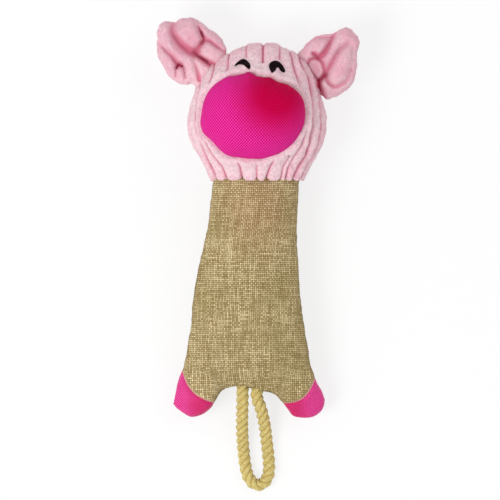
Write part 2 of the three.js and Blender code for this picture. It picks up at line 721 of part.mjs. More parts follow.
// How far out from the hinge the base edge lies: clear of the head, and more so towards its ends
function baseOut({ turn, along, out, middle }, share) {
  let [crownwards, neckwards] = [0, 2 * turn];
  for (let k = 0; k < 40; k += 1) {
    const halfway = (crownwards + neckwards) / 2;
    const reach = headEdge(halfway).sub(middle).dot(along);
    if (reach > (share * earBaseLength) / 2) crownwards = halfway;
    else neckwards = halfway;
  }
  return headEdge(crownwards).sub(middle).dot(out) + earClearance * (1 + earBaseOpeningShare * share ** 2);
}

function nameEar(side, shares, degrees) {
  const hinge = hingeAt(degrees);
  const at = (alongBy, outBy) => hinge.middle.clone()
    .addScaledVector(hinge.along, alongBy)
    .addScaledVector(hinge.out, outBy)
    .toArray();
  const place = ([a, o]) => at((a * earBaseLength) / 2, o * earLength);
  const base = earBaseShares.map((share) => at((share * earBaseLength) / 2, baseOut(hinge, share)));
  const ear = pillow({
    start: base,
    left: [base[0], ...shares.lower.map(place)],
    right: [base[base.length - 1], ...shares.upper.map(place)],
    end: shares.outer.map(place),
    open: false,
    startTaperShare: 0.12,
    endTaperShare: 0.3,
    halfDepthAt: (v) => earBaseHalfThickness + (earHalfThickness - earBaseHalfThickness) * Math.min(1, 2 * v),
    seamAt: () => headZ,
  }, 0, earColumns, { middle: 3, taper: 3 });
  const underTack = ellipse(...at(0, earTackOut), earTackLength / 2, earTackLength / 2, threadSides);
  const tackBedZ = ear.intersect(column(underTack, farBelow, farAbove)).boundingBox().max[2];
  const points = [-1, 0, 1].map((k) => [
    ...at((k * earTackLength) / 2, earTackOut),
    tackBedZ + gap + threadRadius,
  ]);
  named(`ear_${side}_front_panel`, ear.intersect(above(headZ + gap / 2)), 'plush');
  named(`ear_${side}_back_panel`, ear.subtract(above(headZ - gap / 2)), 'plush');
  named(`ear_${side}_tack_thread`, tube(points, threadRadius, threadSides, points.length - 1), 'thread');
}

nameEar('left', leftEarShares, leftEarTurn);
nameEar('right', rightEarShares, rightEarTurn);

// Eyes: an arc of satin stitch each, lying on the face above the snout
const eyeY = snoutY + snoutHalfHeight + eyeRise;

function eye(x) {
  const points = Array.from({ length: eyeSteps + 1 }, (_, k) => {
    const turn = Math.PI * (1 - k / eyeSteps);
    const at = [x + (eyeSpan / 2) * Math.cos(turn), eyeY + eyeArch * Math.sin(turn)];
    const slope = (faceZ(at[0], at[1] + gap) - faceZ(at[0], at[1])) / gap;
    const lean = (faceZ(at[0] + gap, at[1]) - faceZ(at[0], at[1])) / gap;
    const normal = new THREE.Vector3(-lean, -slope, 1).normalize().multiplyScalar(eyeRadius + gap);
    return [at[0] + normal.x, at[1] + normal.y, faceZ(...at) + normal.z];
  });
  return tube(points, eyeRadius, 8, 8);
}

named('eye_left', eye(eyeLeftX), 'embroidery');
named('eye_right', eye(eyeRightX), 'embroidery');

export default toy;
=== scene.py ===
import math

import bmesh
import bpy
import numpy as np
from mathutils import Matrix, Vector


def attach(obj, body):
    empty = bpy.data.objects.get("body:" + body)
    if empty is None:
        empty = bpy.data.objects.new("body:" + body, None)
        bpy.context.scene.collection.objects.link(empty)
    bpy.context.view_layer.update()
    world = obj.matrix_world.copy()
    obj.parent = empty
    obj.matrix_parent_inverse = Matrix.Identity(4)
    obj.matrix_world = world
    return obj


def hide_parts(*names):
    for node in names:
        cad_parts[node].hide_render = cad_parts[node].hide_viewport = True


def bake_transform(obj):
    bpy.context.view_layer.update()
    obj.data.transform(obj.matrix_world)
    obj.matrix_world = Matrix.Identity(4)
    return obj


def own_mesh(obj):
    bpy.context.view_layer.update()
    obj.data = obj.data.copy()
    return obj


# A squeaky dog toy, a plush pig lying on its back. Tables are in millimetres, the scene in metres.
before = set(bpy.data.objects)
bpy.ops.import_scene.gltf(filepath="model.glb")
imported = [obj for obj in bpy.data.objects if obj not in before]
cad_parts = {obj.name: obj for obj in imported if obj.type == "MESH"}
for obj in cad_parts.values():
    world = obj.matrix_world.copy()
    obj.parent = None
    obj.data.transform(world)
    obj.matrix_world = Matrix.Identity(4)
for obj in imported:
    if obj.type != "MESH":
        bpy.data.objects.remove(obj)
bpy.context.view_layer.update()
mm = 0.001
print("frame loaded")


def linked(name, data):
    obj = bpy.data.objects.new(name, data)
    bpy.context.scene.collection.objects.link(obj)
    return obj


view = {"x": -0.0069, "y": -0.0266, "height": 6.06, "lens": 534.6}
cameraData = bpy.data.cameras.new("camera")
camera = linked("camera", cameraData)
camera.location = (view["x"], view["y"], view["height"])
cameraData.lens = view["lens"]
cameraData.sensor_width = 36
cameraData.clip_end = 20
bpy.context.scene.camera = camera
bpy.context.scene.view_settings.view_transform = "Standard"


def deselectAll():
    if bpy.context.object and bpy.context.object.mode != "OBJECT":
        bpy.ops.object.mode_set(mode="OBJECT")
    bpy.ops.object.select_all(action="DESELECT")


def selectOnly(obj):
    deselectAll()
    obj.select_set(True)
    bpy.context.view_layer.objects.active = obj


def applyModifiers(obj):
    selectOnly(obj)
    for name in [modifier.name for modifier in obj.modifiers]:
        bpy.ops.object.modifier_apply(modifier=name)


def placeMesh(obj):
    # the finished object sits at the origin, with its place in its mesh
    bpy.context.view_layer.update()
    obj.data.transform(obj.matrix_world)
    obj.matrix_world.identity()


def newPiece(name, points, faces, cornerUvs=None):
    mesh = bpy.data.meshes.new(name)
    mesh.from_pydata([tuple(p) for p in np.asarray(points) * mm], [], faces)
    mesh.polygons.foreach_set("use_smooth", np.ones(len(faces), bool))
    if cornerUvs is not None:
        layer = mesh.uv_layers.new(name="UVMap")
        layer.data.foreach_set("uv", np.asarray(cornerUvs, np.float32).ravel())
    mesh.validate()
    return linked(name, mesh)


def meshPoints(obj):
    points = np.zeros(len(obj.data.vertices) * 3)
    obj.data.vertices.foreach_get("co", points)
    return points.reshape(-1, 3) / mm


def setPoints(obj, points):
    obj.data.vertices.foreach_set("co", (points * mm).astype(np.float32).ravel())
    obj.data.update()


def setAttribute(obj, name, values):
    attribute = obj.data.attributes.new(name, "FLOAT", "POINT")
    attribute.data.foreach_set("value", np.asarray(values, np.float32))


def softNoise(points, size, seed):
    # smooth random bumps from -1 to 1, the same on each run
    cells = np.asarray(points, float) / size
    base = np.floor(cells).astype(np.int64)
    part = cells - base
    part = part * part * (3 - 2 * part)
    total = np.zeros(len(cells))
    for corner in range(8):
        step = np.array([corner & 1, corner >> 1 & 1, corner >> 2])
        key = (base + step) @ np.array([73856093, 19349663, 83492791]) + seed * 7919
        key = ((key ^ (key >> 13)) * 1274126177) & 0xFFFFFFFF
        value = ((key ^ (key >> 16)) & 0xFFFF) / 32767.5 - 1
        total += value * np.prod(np.where(step == 1, part, 1 - part), axis=1)
    return total


def lengthsAlong(line):
    return np.concatenate([[0], np.cumsum(np.linalg.norm(np.diff(line, axis=0), axis=1))])


def smoothLine(points, count, closed=False):
    # evenly spaced points on a smooth curve through these points
    points = np.array(points, float)
    if closed:
        points = np.vstack([points[-1:], points, points[:2]])
    else:
        points = np.vstack([2 * points[:1] - points[1:2], points, 2 * points[-1:] - points[-2:-1]])
    steps = 16
    t = np.arange(steps)[:, None] / steps
    fine = []
    for a, b, c, d in zip(points, points[1:], points[2:], points[3:]):
        fine.append(0.5 * (2 * b + (c - a) * t + (2 * a - 5 * b + 4 * c - d) * t ** 2
                           + (3 * b - a - 3 * c + d) * t ** 3))
    fine = np.vstack([*fine, points[-2:-1]])
    gone = lengthsAlong(fine)
    at = np.linspace(0, gone[-1], count, endpoint=not closed)
    return np.stack([np.interp(at, gone, fine[:, k]) for k in range(fine.shape[1])], axis=1)


def pointsAlong(line, shares):
    at = np.asarray(shares) * (len(line) - 1)
    return np.stack([np.interp(at, np.arange(len(line)), line[:, k]) for k in (0, 1)], axis=-1)


def distanceTo(line, x, y):
    near = np.full(np.shape(x), 1e9)
    for (ax, ay), (bx, by) in zip(line, line[1:]):
        dx, dy = bx - ax, by - ay
        share = np.clip(((x - ax) * dx + (y - ay) * dy) / max(dx * dx + dy * dy, 1e-9), 0, 1)
        near = np.minimum(near, np.hypot(x - ax - share * dx, y - ay - share * dy))
    return near


def rounded(distance, reach):
    # 0 in a sewn line, swelling roundly to 1 at this reach from it
    share = np.clip(distance / reach, 0, 1)
    return np.sqrt(np.maximum(1 - (1 - share) ** 2, 0))


def smoothStep(value, low, high):
    share = np.clip((value - low) / (high - low), 0, 1)
    return share * share * (3 - 2 * share)


def closeTo(distance, reach):
    # 1 in a line, fading to nothing a little beyond this reach from it
    return np.exp(-(distance / reach) ** 2)


def gridNormals(grid):
    # outward normals of a grid of rows from top to bottom, whose columns run round
    down = np.gradient(grid, axis=0)
    across = (np.roll(grid, -1, axis=1) - np.roll(grid, 1, axis=1)) / 2
    normal = np.cross(down, across)
    return normal / np.maximum(np.linalg.norm(normal, axis=2, keepdims=True), 1e-9)


def ringAt(reach, around, height):
    return np.stack([reach * np.cos(around), reach * np.sin(around), np.full(len(around), height)], axis=1)


def ringFaces(count, columns):
    # rings from top to bottom, closed by a middle point at each end, the two points last
    faces = []
    for j in range(count - 1):
        here, below = j * columns, (j + 1) * columns
        for k in range(columns):
            after = (k + 1) % columns
            faces.append((here + k, below + k, below + after, here + after))
    top, last = count * columns, (count - 1) * columns
    for k in range(columns):
        after = (k + 1) % columns
        faces.append((top, k, after))
        faces.append((top + 1, last + after, last + k))
    return faces


def paint(red, green, blue):
    # a colour as it is seen, to the linear values that Blender takes
    def linear(value):
        value /= 255
        return value / 12.92 if value <= 0.04045 else ((value + 0.055) / 1.055) ** 2.4
    return (linear(red), linear(green), linear(blue), 1)


def addNode(tree, kind, inputs=None, **settings):
    node = tree.nodes.new(kind)
    for key, value in settings.items():
        setattr(node, key, value)
    for key, value in (inputs or {}).items():
        if isinstance(value, bpy.types.NodeSocket):
            tree.links.new(value, node.inputs[key])
        else:
            node.inputs[key].default_value = value
    return node


def maths(tree, operation, first, second=0.0, third=0.0):
    node = addNode(tree, "ShaderNodeMath", {0: first, 1: second, 2: third}, operation=operation)
    return node.outputs[0]


def mixPaint(tree, share, first, second):
    return addNode(tree, "ShaderNodeMix", {0: share, 6: first, 7: second}, data_type="RGBA").outputs[2]


def tint(tree, colour, mask, share, tone):
    return mixPaint(tree, maths(tree, "MULTIPLY", mask, share), colour, tone)


def wave(tree, value, size, shape="SINE"):
    return maths(tree, shape, maths(tree, "MULTIPLY", value, 2 * math.pi / size))


def noise(tree, vector, scale, detail=2.0, roughness=0.5):
    node = addNode(tree, "ShaderNodeTexNoise",
                   {"Vector": vector, "Scale": scale, "Detail": detail, "Roughness": roughness})
    return node.outputs["Fac"]


def ramp(tree, value, low, high):
    node = addNode(tree, "ShaderNodeMapRange", {"Value": value, "From Min": low, "From Max": high},
                   interpolation_type="SMOOTHSTEP")
    return node.outputs["Result"]


def newGroup(name, inputs, outputs):
    group = bpy.data.node_groups.new(name, "ShaderNodeTree")
    for socket, kind in inputs:
        group.interface.new_socket(socket, in_out="INPUT", socket_type=kind)
    for socket, kind in outputs:
        group.interface.new_socket(socket, in_out="OUTPUT", socket_type=kind)
    return group, group.nodes.new("NodeGroupInput"), group.nodes.new("NodeGroupOutput")


def fillGroup(tree, group, inputs):
    return addNode(tree, "ShaderNodeGroup", inputs, node_tree=group)


def newMaterial(name, constants):
    material = bpy.data.materials.new(name)
    material.use_nodes = True
    for key, value in constants.items():
        material.node_tree.nodes["Principled BSDF"].inputs[key].default_value = value
    return material, material.node_tree


def feed(material, key, value):
    tree = material.node_tree
    tree.links.new(value, tree.nodes["Principled BSDF"].inputs[key])


def finishMaterial(material, colour, height, strength, distance):
    relief = addNode(material.node_tree, "ShaderNodeBump",
                     {"Height": height, "Strength": strength, "Distance": distance})
    feed(material, "Base Color", colour)
    feed(material, "Normal", relief.outputs["Normal"])
    return material


def objectPlace(tree):
    return addNode(tree, "ShaderNodeTexCoord").outputs["Object"]


def ownUv(tree):
    return addNode(tree, "ShaderNodeUVMap", uv_map="UVMap").outputs["UV"]


def attributeOf(tree, name):
    return addNode(tree, "ShaderNodeAttribute", attribute_name=name).outputs["Fac"]


def split(tree, vector):
    return addNode(tree, "ShaderNodeSeparateXYZ", {0: vector}).outputs


def turnedPlace(tree, degrees):
    inputs = {"Vector": objectPlace(tree), "Rotation": (0, 0, math.radians(degrees))}
    return split(tree, addNode(tree, "ShaderNodeMapping", inputs).outputs[0])


def fromSpot(tree, spot, size=(1, 1)):
    # how far each point lies from a spot, seen from above, in shares of this size
    parts = split(tree, objectPlace(tree))
    offs = [maths(tree, "DIVIDE", maths(tree, "SUBTRACT", parts[k], spot[k]), size[k]) for k in (0, 1)]
    squares = maths(tree, "MULTIPLY_ADD", offs[0], offs[0], maths(tree, "MULTIPLY", offs[1], offs[1]))
    return maths(tree, "SQRT", squares)


floatKind, vectorKind = "NodeSocketFloat", "NodeSocketVector"

# fibres: a fine tangle with clumps, for everything fluffy or spun
fibres, groupIn, groupOut = newGroup(
    "fibres", [("Vector", vectorKind), ("Fineness", floatKind)],
    [("Height", floatKind), ("Clumps", floatKind)])
fine = noise(fibres, groupIn.outputs["Vector"], groupIn.outputs["Fineness"], 3, 0.65)
coarseScale = maths(fibres, "MULTIPLY", groupIn.outputs["Fineness"], 0.36)
clumps = noise(fibres, groupIn.outputs["Vector"], coarseScale, 2, 0.55)
height = maths(fibres, "MULTIPLY_ADD", fine, 0.6, maths(fibres, "MULTIPLY", clumps, 0.4))
fibres.links.new(height, groupOut.inputs["Height"])
fibres.links.new(clumps, groupOut.inputs["Clumps"])

# plainWeave: warp and weft over a UV map in millimetres, each thread with its own slubs
plainWeave, groupIn, groupOut = newGroup(
    "plainWeave", [("Vector", vectorKind), ("Pitch", floatKind)],
    [("Height", floatKind), ("Tone", floatKind), ("Filled", floatKind)])
parts = addNode(plainWeave, "ShaderNodeSeparateXYZ", {0: groupIn.outputs["Vector"]})
threads, crests = [], []
for axis, other in (("X", "Y"), ("Y", "X")):
    along = maths(plainWeave, "DIVIDE", parts.outputs[axis], groupIn.outputs["Pitch"])
    number = maths(plainWeave, "FLOOR", along)
    crests.append(wave(plainWeave, maths(plainWeave, "FRACT", along), 2))
    slide = maths(plainWeave, "MULTIPLY", parts.outputs[other], 0.06 if axis == "X" else 0.09)
    place = addNode(plainWeave, "ShaderNodeCombineXYZ",
                    {0: maths(plainWeave, "MULTIPLY", number, 3.7), 1: slide, 2: 0.5 if axis == "X" else 7.5})
    threads.append((number, noise(plainWeave, place.outputs[0], 1, 2, 0.6)))
(warpNumber, warpTone), (weftNumber, weftTone) = threads
over = maths(plainWeave, "PINGPONG", maths(plainWeave, "ADD", warpNumber, weftNumber), 1)
# the thread on top is round across and dives under its neighbours at both ends
bumps = []
for across, end in ((crests[1], crests[0]), (crests[0], crests[1])):
    bumps.append(maths(plainWeave, "MULTIPLY", maths(plainWeave, "POWER", across, 0.8),
                       maths(plainWeave, "POWER", end, 0.4)))
crestMix = addNode(plainWeave, "ShaderNodeMix", {0: over, 2: bumps[0], 3: bumps[1]})
weftDarker = maths(plainWeave, "SUBTRACT", weftTone, 0.06)
toneMix = addNode(plainWeave, "ShaderNodeMix", {0: over, 2: weftDarker, 3: warpTone})
plainWeave.links.new(crestMix.outputs[0], groupOut.inputs["Height"])
plainWeave.links.new(toneMix.outputs[0], groupOut.inputs["Tone"])
# small holes are left where four threads meet
plainWeave.links.new(maths(plainWeave, "MAXIMUM", *crests), groupOut.inputs["Filled"])
print("fibre and weave groups built")


def plushMaterial(values):
    material, tree = newMaterial("plushPile", {
        "Roughness": 1.0, "Specular IOR Level": 0.1, "Sheen Weight": 0.2, "Sheen Roughness": 0.6,
        "Sheen Tint": values["sheen"]})
    place = objectPlace(tree)
    pile = fillGroup(tree, fibres, {"Vector": place, "Fineness": values["fineness"]}).outputs["Height"]
    creaseShade = attributeOf(tree, "creaseShade")
    broad = ramp(tree, noise(tree, place, 70, 2), 0.3, 0.7)
    colour = mixPaint(tree, broad, values["crest"], values["blush"])
    # the pile is paler round the snout and pinker out on the ears
    away = fromSpot(tree, values["faceSpot"], values["faceSize"])
    away = maths(tree, "MULTIPLY_ADD", noise(tree, place, 160, 2), 0.3, away)
    colour = tint(tree, colour, ramp(tree, away, 1.62, 1.2), 0.5, values["pale"])
    colour = tint(tree, colour, ramp(tree, away, 1.7, 2.1), 0.6, values["far"])
    tips = ramp(tree, noise(tree, place, values["fineness"] * 0.55, 4, 0.7), 0.35, 0.75)
    crests = ramp(tree, creaseShade, 0.5, 0.05)
    colour = tint(tree, colour, tips, crests, values["tip"])
    # grey flecks on the crests, none down in the lines
    flecks = maths(tree, "MULTIPLY", ramp(tree, pile, 0.44, 0.7), crests)
    colour = tint(tree, colour, flecks, values["fleckShare"], values["fleck"])
    # painted shade: pinker and darker down in the lines between the ribs and in the folds of the ears, darker
    # still in the pits
    colour = mixPaint(tree, ramp(tree, creaseShade, 0.12, 0.95), colour, values["groove"])
    colour = mixPaint(tree, ramp(tree, creaseShade, 0.9, 1.7), colour, values["pitShade"])
    return finishMaterial(material, colour, pile, 1.0, 0.0016)


def snoutMaterial(values):
    material, tree = newMaterial("snoutNylon", {"Specular IOR Level": 0.03})
    uv = split(tree, ownUv(tree))
    waves = [wave(tree, uv[k], values[size], "COSINE") for k, size in enumerate(("across", "along"))]
    dots = ramp(tree, maths(tree, "MULTIPLY", *waves), -0.45, 0.5)
    # painted shade: the cloth is darker and redder round one spot, its shaded side, and so are its dots
    red = ramp(tree, fromSpot(tree, values["snoutShadeSpot"]), 0.046, 0.01)
    base = mixPaint(tree, red, values["base"], values["deep"])
    dot = mixPaint(tree, red, values["dot"], values["shadedDot"])
    roughness = addNode(tree, "ShaderNodeMapRange", {"Value": dots, "To Min": 0.75, "To Max": 0.5})
    feed(material, "Roughness", roughness.outputs[0])
    # painted highlight: the floats of the weave are painted lighter than the cloth between them
    return finishMaterial(material, mixPaint(tree, dots, base, dot), dots, 0.9, 0.0008)


def footMaterial(values):
    material, tree = newMaterial("footNylon", {"Specular IOR Level": 0.4, "Roughness": 0.5})
    place = objectPlace(tree)
    turned = turnedPlace(tree, values["turn"])
    rib = wave(tree, turned[0], values["pitch"] * mm)
    stitch = wave(tree, turned[1], values["stitch"] * mm)
    height = maths(tree, "MULTIPLY_ADD", stitch, 0.25, rib)
    # painted shade: the troughs between the ribs are darker
    colour = mixPaint(tree, ramp(tree, height, -1, 1), values["deep"], values["base"])
    # painted shade: darker and redder on the inner side of each foot, where the cloth turns under
    away = maths(tree, "ABSOLUTE", maths(tree, "SUBTRACT", split(tree, place)[0], values["between"] * mm))
    away = maths(tree, "MULTIPLY_ADD", noise(tree, place, 60), 0.012, away)
    colour = tint(tree, colour, ramp(tree, away, 0.059, 0.044), 0.8, values["inner"])
    return finishMaterial(material, colour, height, 0.6, 0.0004)


def linenMaterial(values):
    material, tree = newMaterial("linenWeave", {"Roughness": 0.95, "Specular IOR Level": 0.1})
    place = objectPlace(tree)
    weave = fillGroup(tree, plainWeave, {"Vector": ownUv(tree), "Pitch": values["pitch"]}).outputs
    fuzz = fillGroup(tree, fibres, {"Vector": place, "Fineness": 1400.0}).outputs["Height"]
    colour = mixPaint(tree, ramp(tree, weave["Tone"], 0.3, 0.7), values["dark"], values["light"])
    # painted shadow of the head: the cloth is browner and darker under the neck; it is more olive further
    # down
    away = fromSpot(tree, values["neckShadowSpot"], values["neckShadowSize"])
    away = maths(tree, "MULTIPLY_ADD", noise(tree, place, 30, 2), 0.02, away)
    colour = tint(tree, colour, ramp(tree, away, 0.052, 0.016), 0.35, values["neckShadow"])
    olive = ramp(tree, noise(tree, place, 24, 2), 0.42, 0.66)
    colour = tint(tree, colour, olive, 0.3, values["olive"])
    # painted shade in the holes where four threads meet and where the threads dip under each other
    dipShade = maths(tree, "MULTIPLY_ADD", ramp(tree, weave["Height"], 0.0, 0.7), 0.5, 0.5)
    gaps = maths(tree, "MULTIPLY", ramp(tree, weave["Filled"], 0.25, 0.72), dipShade)
    colour = mixPaint(tree, gaps, values["gap"], colour)
    # painted shade in the groove round the feet; darker along the side seams too
    colour = tint(tree, colour, attributeOf(tree, "creaseShade"), 0.6, values["gap"])
    # pink shows through where the feet are sewn on
    colour = tint(tree, colour, attributeOf(tree, "hem"), 0.7, values["hem"])
    height = maths(tree, "MULTIPLY_ADD", fuzz, 0.35, weave["Height"])
    return finishMaterial(material, colour, height, 0.8, 0.0007)


def ropeMaterial(values):
    material, tree = newMaterial("cottonRope", {
        "Roughness": 0.95, "Specular IOR Level": 0.1, "Sheen Weight": 0.15})
    uv = split(tree, ownUv(tree))
    # yarns lean against the lay of the strands, so that they run along the rope
    yarn = wave(tree, maths(tree, "MULTIPLY_ADD", uv[1], values["lean"], uv[0]), values["yarn"])
    fuzz = fillGroup(tree, fibres, {"Vector": objectPlace(tree), "Fineness": 1500.0}).outputs
    colour = mixPaint(tree, ramp(tree, fuzz["Clumps"], 0.35, 0.65), values["shade"], values["base"])
    # painted shade in the hollows between the strands
    colour = mixPaint(tree, ramp(tree, attributeOf(tree, "creaseShade"), 0.0, 1.0), colour, values["hollowShade"])
    height = maths(tree, "MULTIPLY_ADD", fuzz["Height"], 0.7, maths(tree, "MULTIPLY", yarn, 0.3))
    return finishMaterial(material, colour, height, 0.7, 0.0006)


def stitchMaterial(values):
    material, tree = newMaterial("satinStitch", {"Specular IOR Level": 0.05, "Roughness": 0.6})
    wobble = noise(tree, objectPlace(tree), 500, 1)
    line = maths(tree, "MULTIPLY_ADD", wobble, 0.0003, turnedPlace(tree, values["turn"])[0])
    thread = wave(tree, line, values["pitch"] * mm)
    # painted shade between the threads of the stitches
    colour = mixPaint(tree, ramp(tree, thread, -1, 1), values["deep"], values["base"])
    return finishMaterial(material, colour, thread, 0.5, 0.0002)


def hiddenMaterial(name, base, shade, fineness, roughness, depth):
    # what shows only where the toy is opened: filling, thread and squeaker
    material, tree = newMaterial(name, {"Roughness": roughness})
    grain = fillGroup(tree, fibres, {"Vector": objectPlace(tree), "Fineness": fineness}).outputs
    colour = mixPaint(tree, ramp(tree, grain["Clumps"], 0.35, 0.65), shade, base)
    return finishMaterial(material, colour, grain["Height"], 0.5, depth)


# The rope comes before the other pieces. Its points beyond the hinge are those of the solid.
rope = {
    "diameter": 9.4, "hinge": -146.896, "height": 20.777, "left": -13.0, "right": -1.1, "inside": 22.0,
    "route": [
        (-13.2, 7.1, 19.6), (-13.4, 15.1, 16.6), (-13.5, 23.1, 12.4), (-13.2, 31.1, 8.4), (-12.6, 39.1, 6.2),
        (-11.8, 47.1, 5.4), (-10.9, 54.1, 5.3), (-8.8, 63.2, 5.3), (-4.8, 69.2, 5.3), (0.2, 71.2, 5.3),
        (5.2, 68.6, 5.3), (8.2, 62.0, 5.3), (8.6, 53.6, 5.3), (7.9, 46.1, 5.4), (7, 38.6, 6.2),
        (6, 30.6, 8.4), (4.9, 22.6, 12.4), (3.3, 14.6, 16.6), (1.3, 7.1, 19.6)],
    "strands": 3, "lay": 18.0, "strandRadius": 3.05, "strandOut": 2.1, "steps": 340, "sides": 22,
    "fluteDepth": 0.03, "flutes": 7, "hollowShadeFrom": 0.45,
    "base": paint(226, 208, 138), "shade": paint(208, 186, 112), "hollowShade": paint(188, 160, 84),
    "yarn": 1.1, "lean": 0.9,
}


def ropePath():
    def tail(x, shares):
        return [[x, rope["hinge"] + share * rope["inside"], rope["height"]] for share in shares]

    loose = [[x, rope["hinge"] - beyond, z] for x, beyond, z in rope["route"]]
    return tail(rope["left"], (1, 0.5, 0)) + loose + tail(rope["right"], (0, 0.5, 1))


def untwisted(line):
    # two directions across a line at each of its points, which don't turn round it
    tangents = np.gradient(line, axis=0)
    tangents /= np.linalg.norm(tangents, axis=1, keepdims=True)
    side = np.cross(tangents[0], (0, 0, 1))
    sides = []
    for tangent in tangents:
        side = side - tangent * np.dot(side, tangent)
        side = side / np.linalg.norm(side)
        sides.append(side)
    return np.array(sides), np.cross(tangents, sides)


def makeRope():
    line = smoothLine(ropePath(), rope["steps"])
    gone = lengthsAlong(line)
    sides, ups = untwisted(line)
    points, faces, uvs, hollowShades = [], [], [], []
    count = rope["sides"]
    angles = 2 * np.pi * np.arange(count) / count
    radii = rope["strandRadius"] * (1 + rope["fluteDepth"] * np.cos(rope["flutes"] * angles))
    arcs = rope["strandRadius"] * 2 * np.pi * np.arange(count + 1) / count
    for strand in range(rope["strands"]):
        turn = 2 * np.pi * (gone / rope["lay"] + strand / rope["strands"])
        out = sides * np.cos(turn)[:, None] + ups * np.sin(turn)[:, None]
        across = -sides * np.sin(turn)[:, None] + ups * np.cos(turn)[:, None]
        middle = line + out * rope["strandOut"]
        first = len(points)
        for j in range(len(line)):
            for angle, radius in zip(angles, radii):
                points.append(middle[j] + radius * (out[j] * np.cos(angle) + across[j] * np.sin(angle)))
                # painted shade on the side of each strand that turns in towards the others
                hollowShades.append(max(0, 1 - np.cos(angle) - rope["hollowShadeFrom"]))
        for j in range(len(line) - 1):
            a, b = first + j * count, first + (j + 1) * count
            for k in range(count):
                after = (k + 1) % count
                faces.append((a + k, a + after, b + after, b + k))
                uvs += [(arcs[k], gone[j]), (arcs[k + 1], gone[j]),
                        (arcs[k + 1], gone[j + 1]), (arcs[k], gone[j + 1])]
        last = first + (len(line) - 1) * count
        faces.append(tuple(first + k for k in reversed(range(count))))
        faces.append(tuple(last + k for k in range(count)))
        uvs += [(0, 0)] * (2 * count)
    piece = newPiece("ropeLoop", points, faces, uvs)
    setAttribute(piece, "creaseShade", hollowShades)
    piece.data.materials.append(ropeMaterial(rope))
    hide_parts("rope_loop", "rope_tail_left", "rope_tail_right")
    path = smoothLine(ropePath(), 40)
    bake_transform(piece)


makeRope()

snout = {
    "x": -4.9, "y": 82.0, "rim": 74.0, "rise": 28.0, "skirt": 62.0, "thickness": 0.8, "inset": -0.4,
    "outline": [
        (-25.5, 112.6), (-19.8, 113.3), (-15.0, 114.4), (-10.9, 115.6), (-8.5, 116.6), (-4.9, 115.2),
        (-0.8, 113.3), (5.3, 112.3), (8.5, 112.5), (11.3, 110.9), (15.4, 108.9), (19.4, 107.5), (25.5, 105.0),
        (31.8, 100.0), (36.0, 93.3), (37.3, 83.6), (36.0, 73.9), (31.2, 64.6), (25.5, 57.6), (17.8, 52.0),
        (6.5, 47.6), (-1.5, 46.7), (-10.6, 47.3), (-24.2, 49.8), (-31.0, 54.6), (-36.9, 61.2), (-42.6, 66.2),
        (-45.3, 70.2), (-46.6, 76.3), (-45.8, 82.8), (-44.0, 92.5), (-40.1, 100.9), (-34.4, 107.0)],
    "rings": 56, "columns": 240,
    # deep and shadedDot are painted shade, the darker side of the dome; dot is a painted highlight
    "base": paint(217, 0, 112), "deep": paint(200, 0, 60), "dot": paint(255, 66, 186),
    "shadedDot": paint(220, 0, 84), "across": 2.4, "along": 2.8, "snoutShadeSpot": (0.0144, 0.0985),
    "radius": 38, "bumps": 0.35, "fullness": 0.96,
}
snoutLine = smoothLine(snout["outline"], 720, closed=True) - (snout["x"], snout["y"])
snoutTurns = np.unwrap(np.arctan2(snoutLine[:, 1], snoutLine[:, 0]))
snoutReach = np.linalg.norm(snoutLine, axis=1)
order = np.argsort(snoutTurns)
snoutTurns, snoutReach = snoutTurns[order], snoutReach[order]


def snoutEdge(turn):
    return np.interp(turn, snoutTurns, snoutReach, period=2 * np.pi)


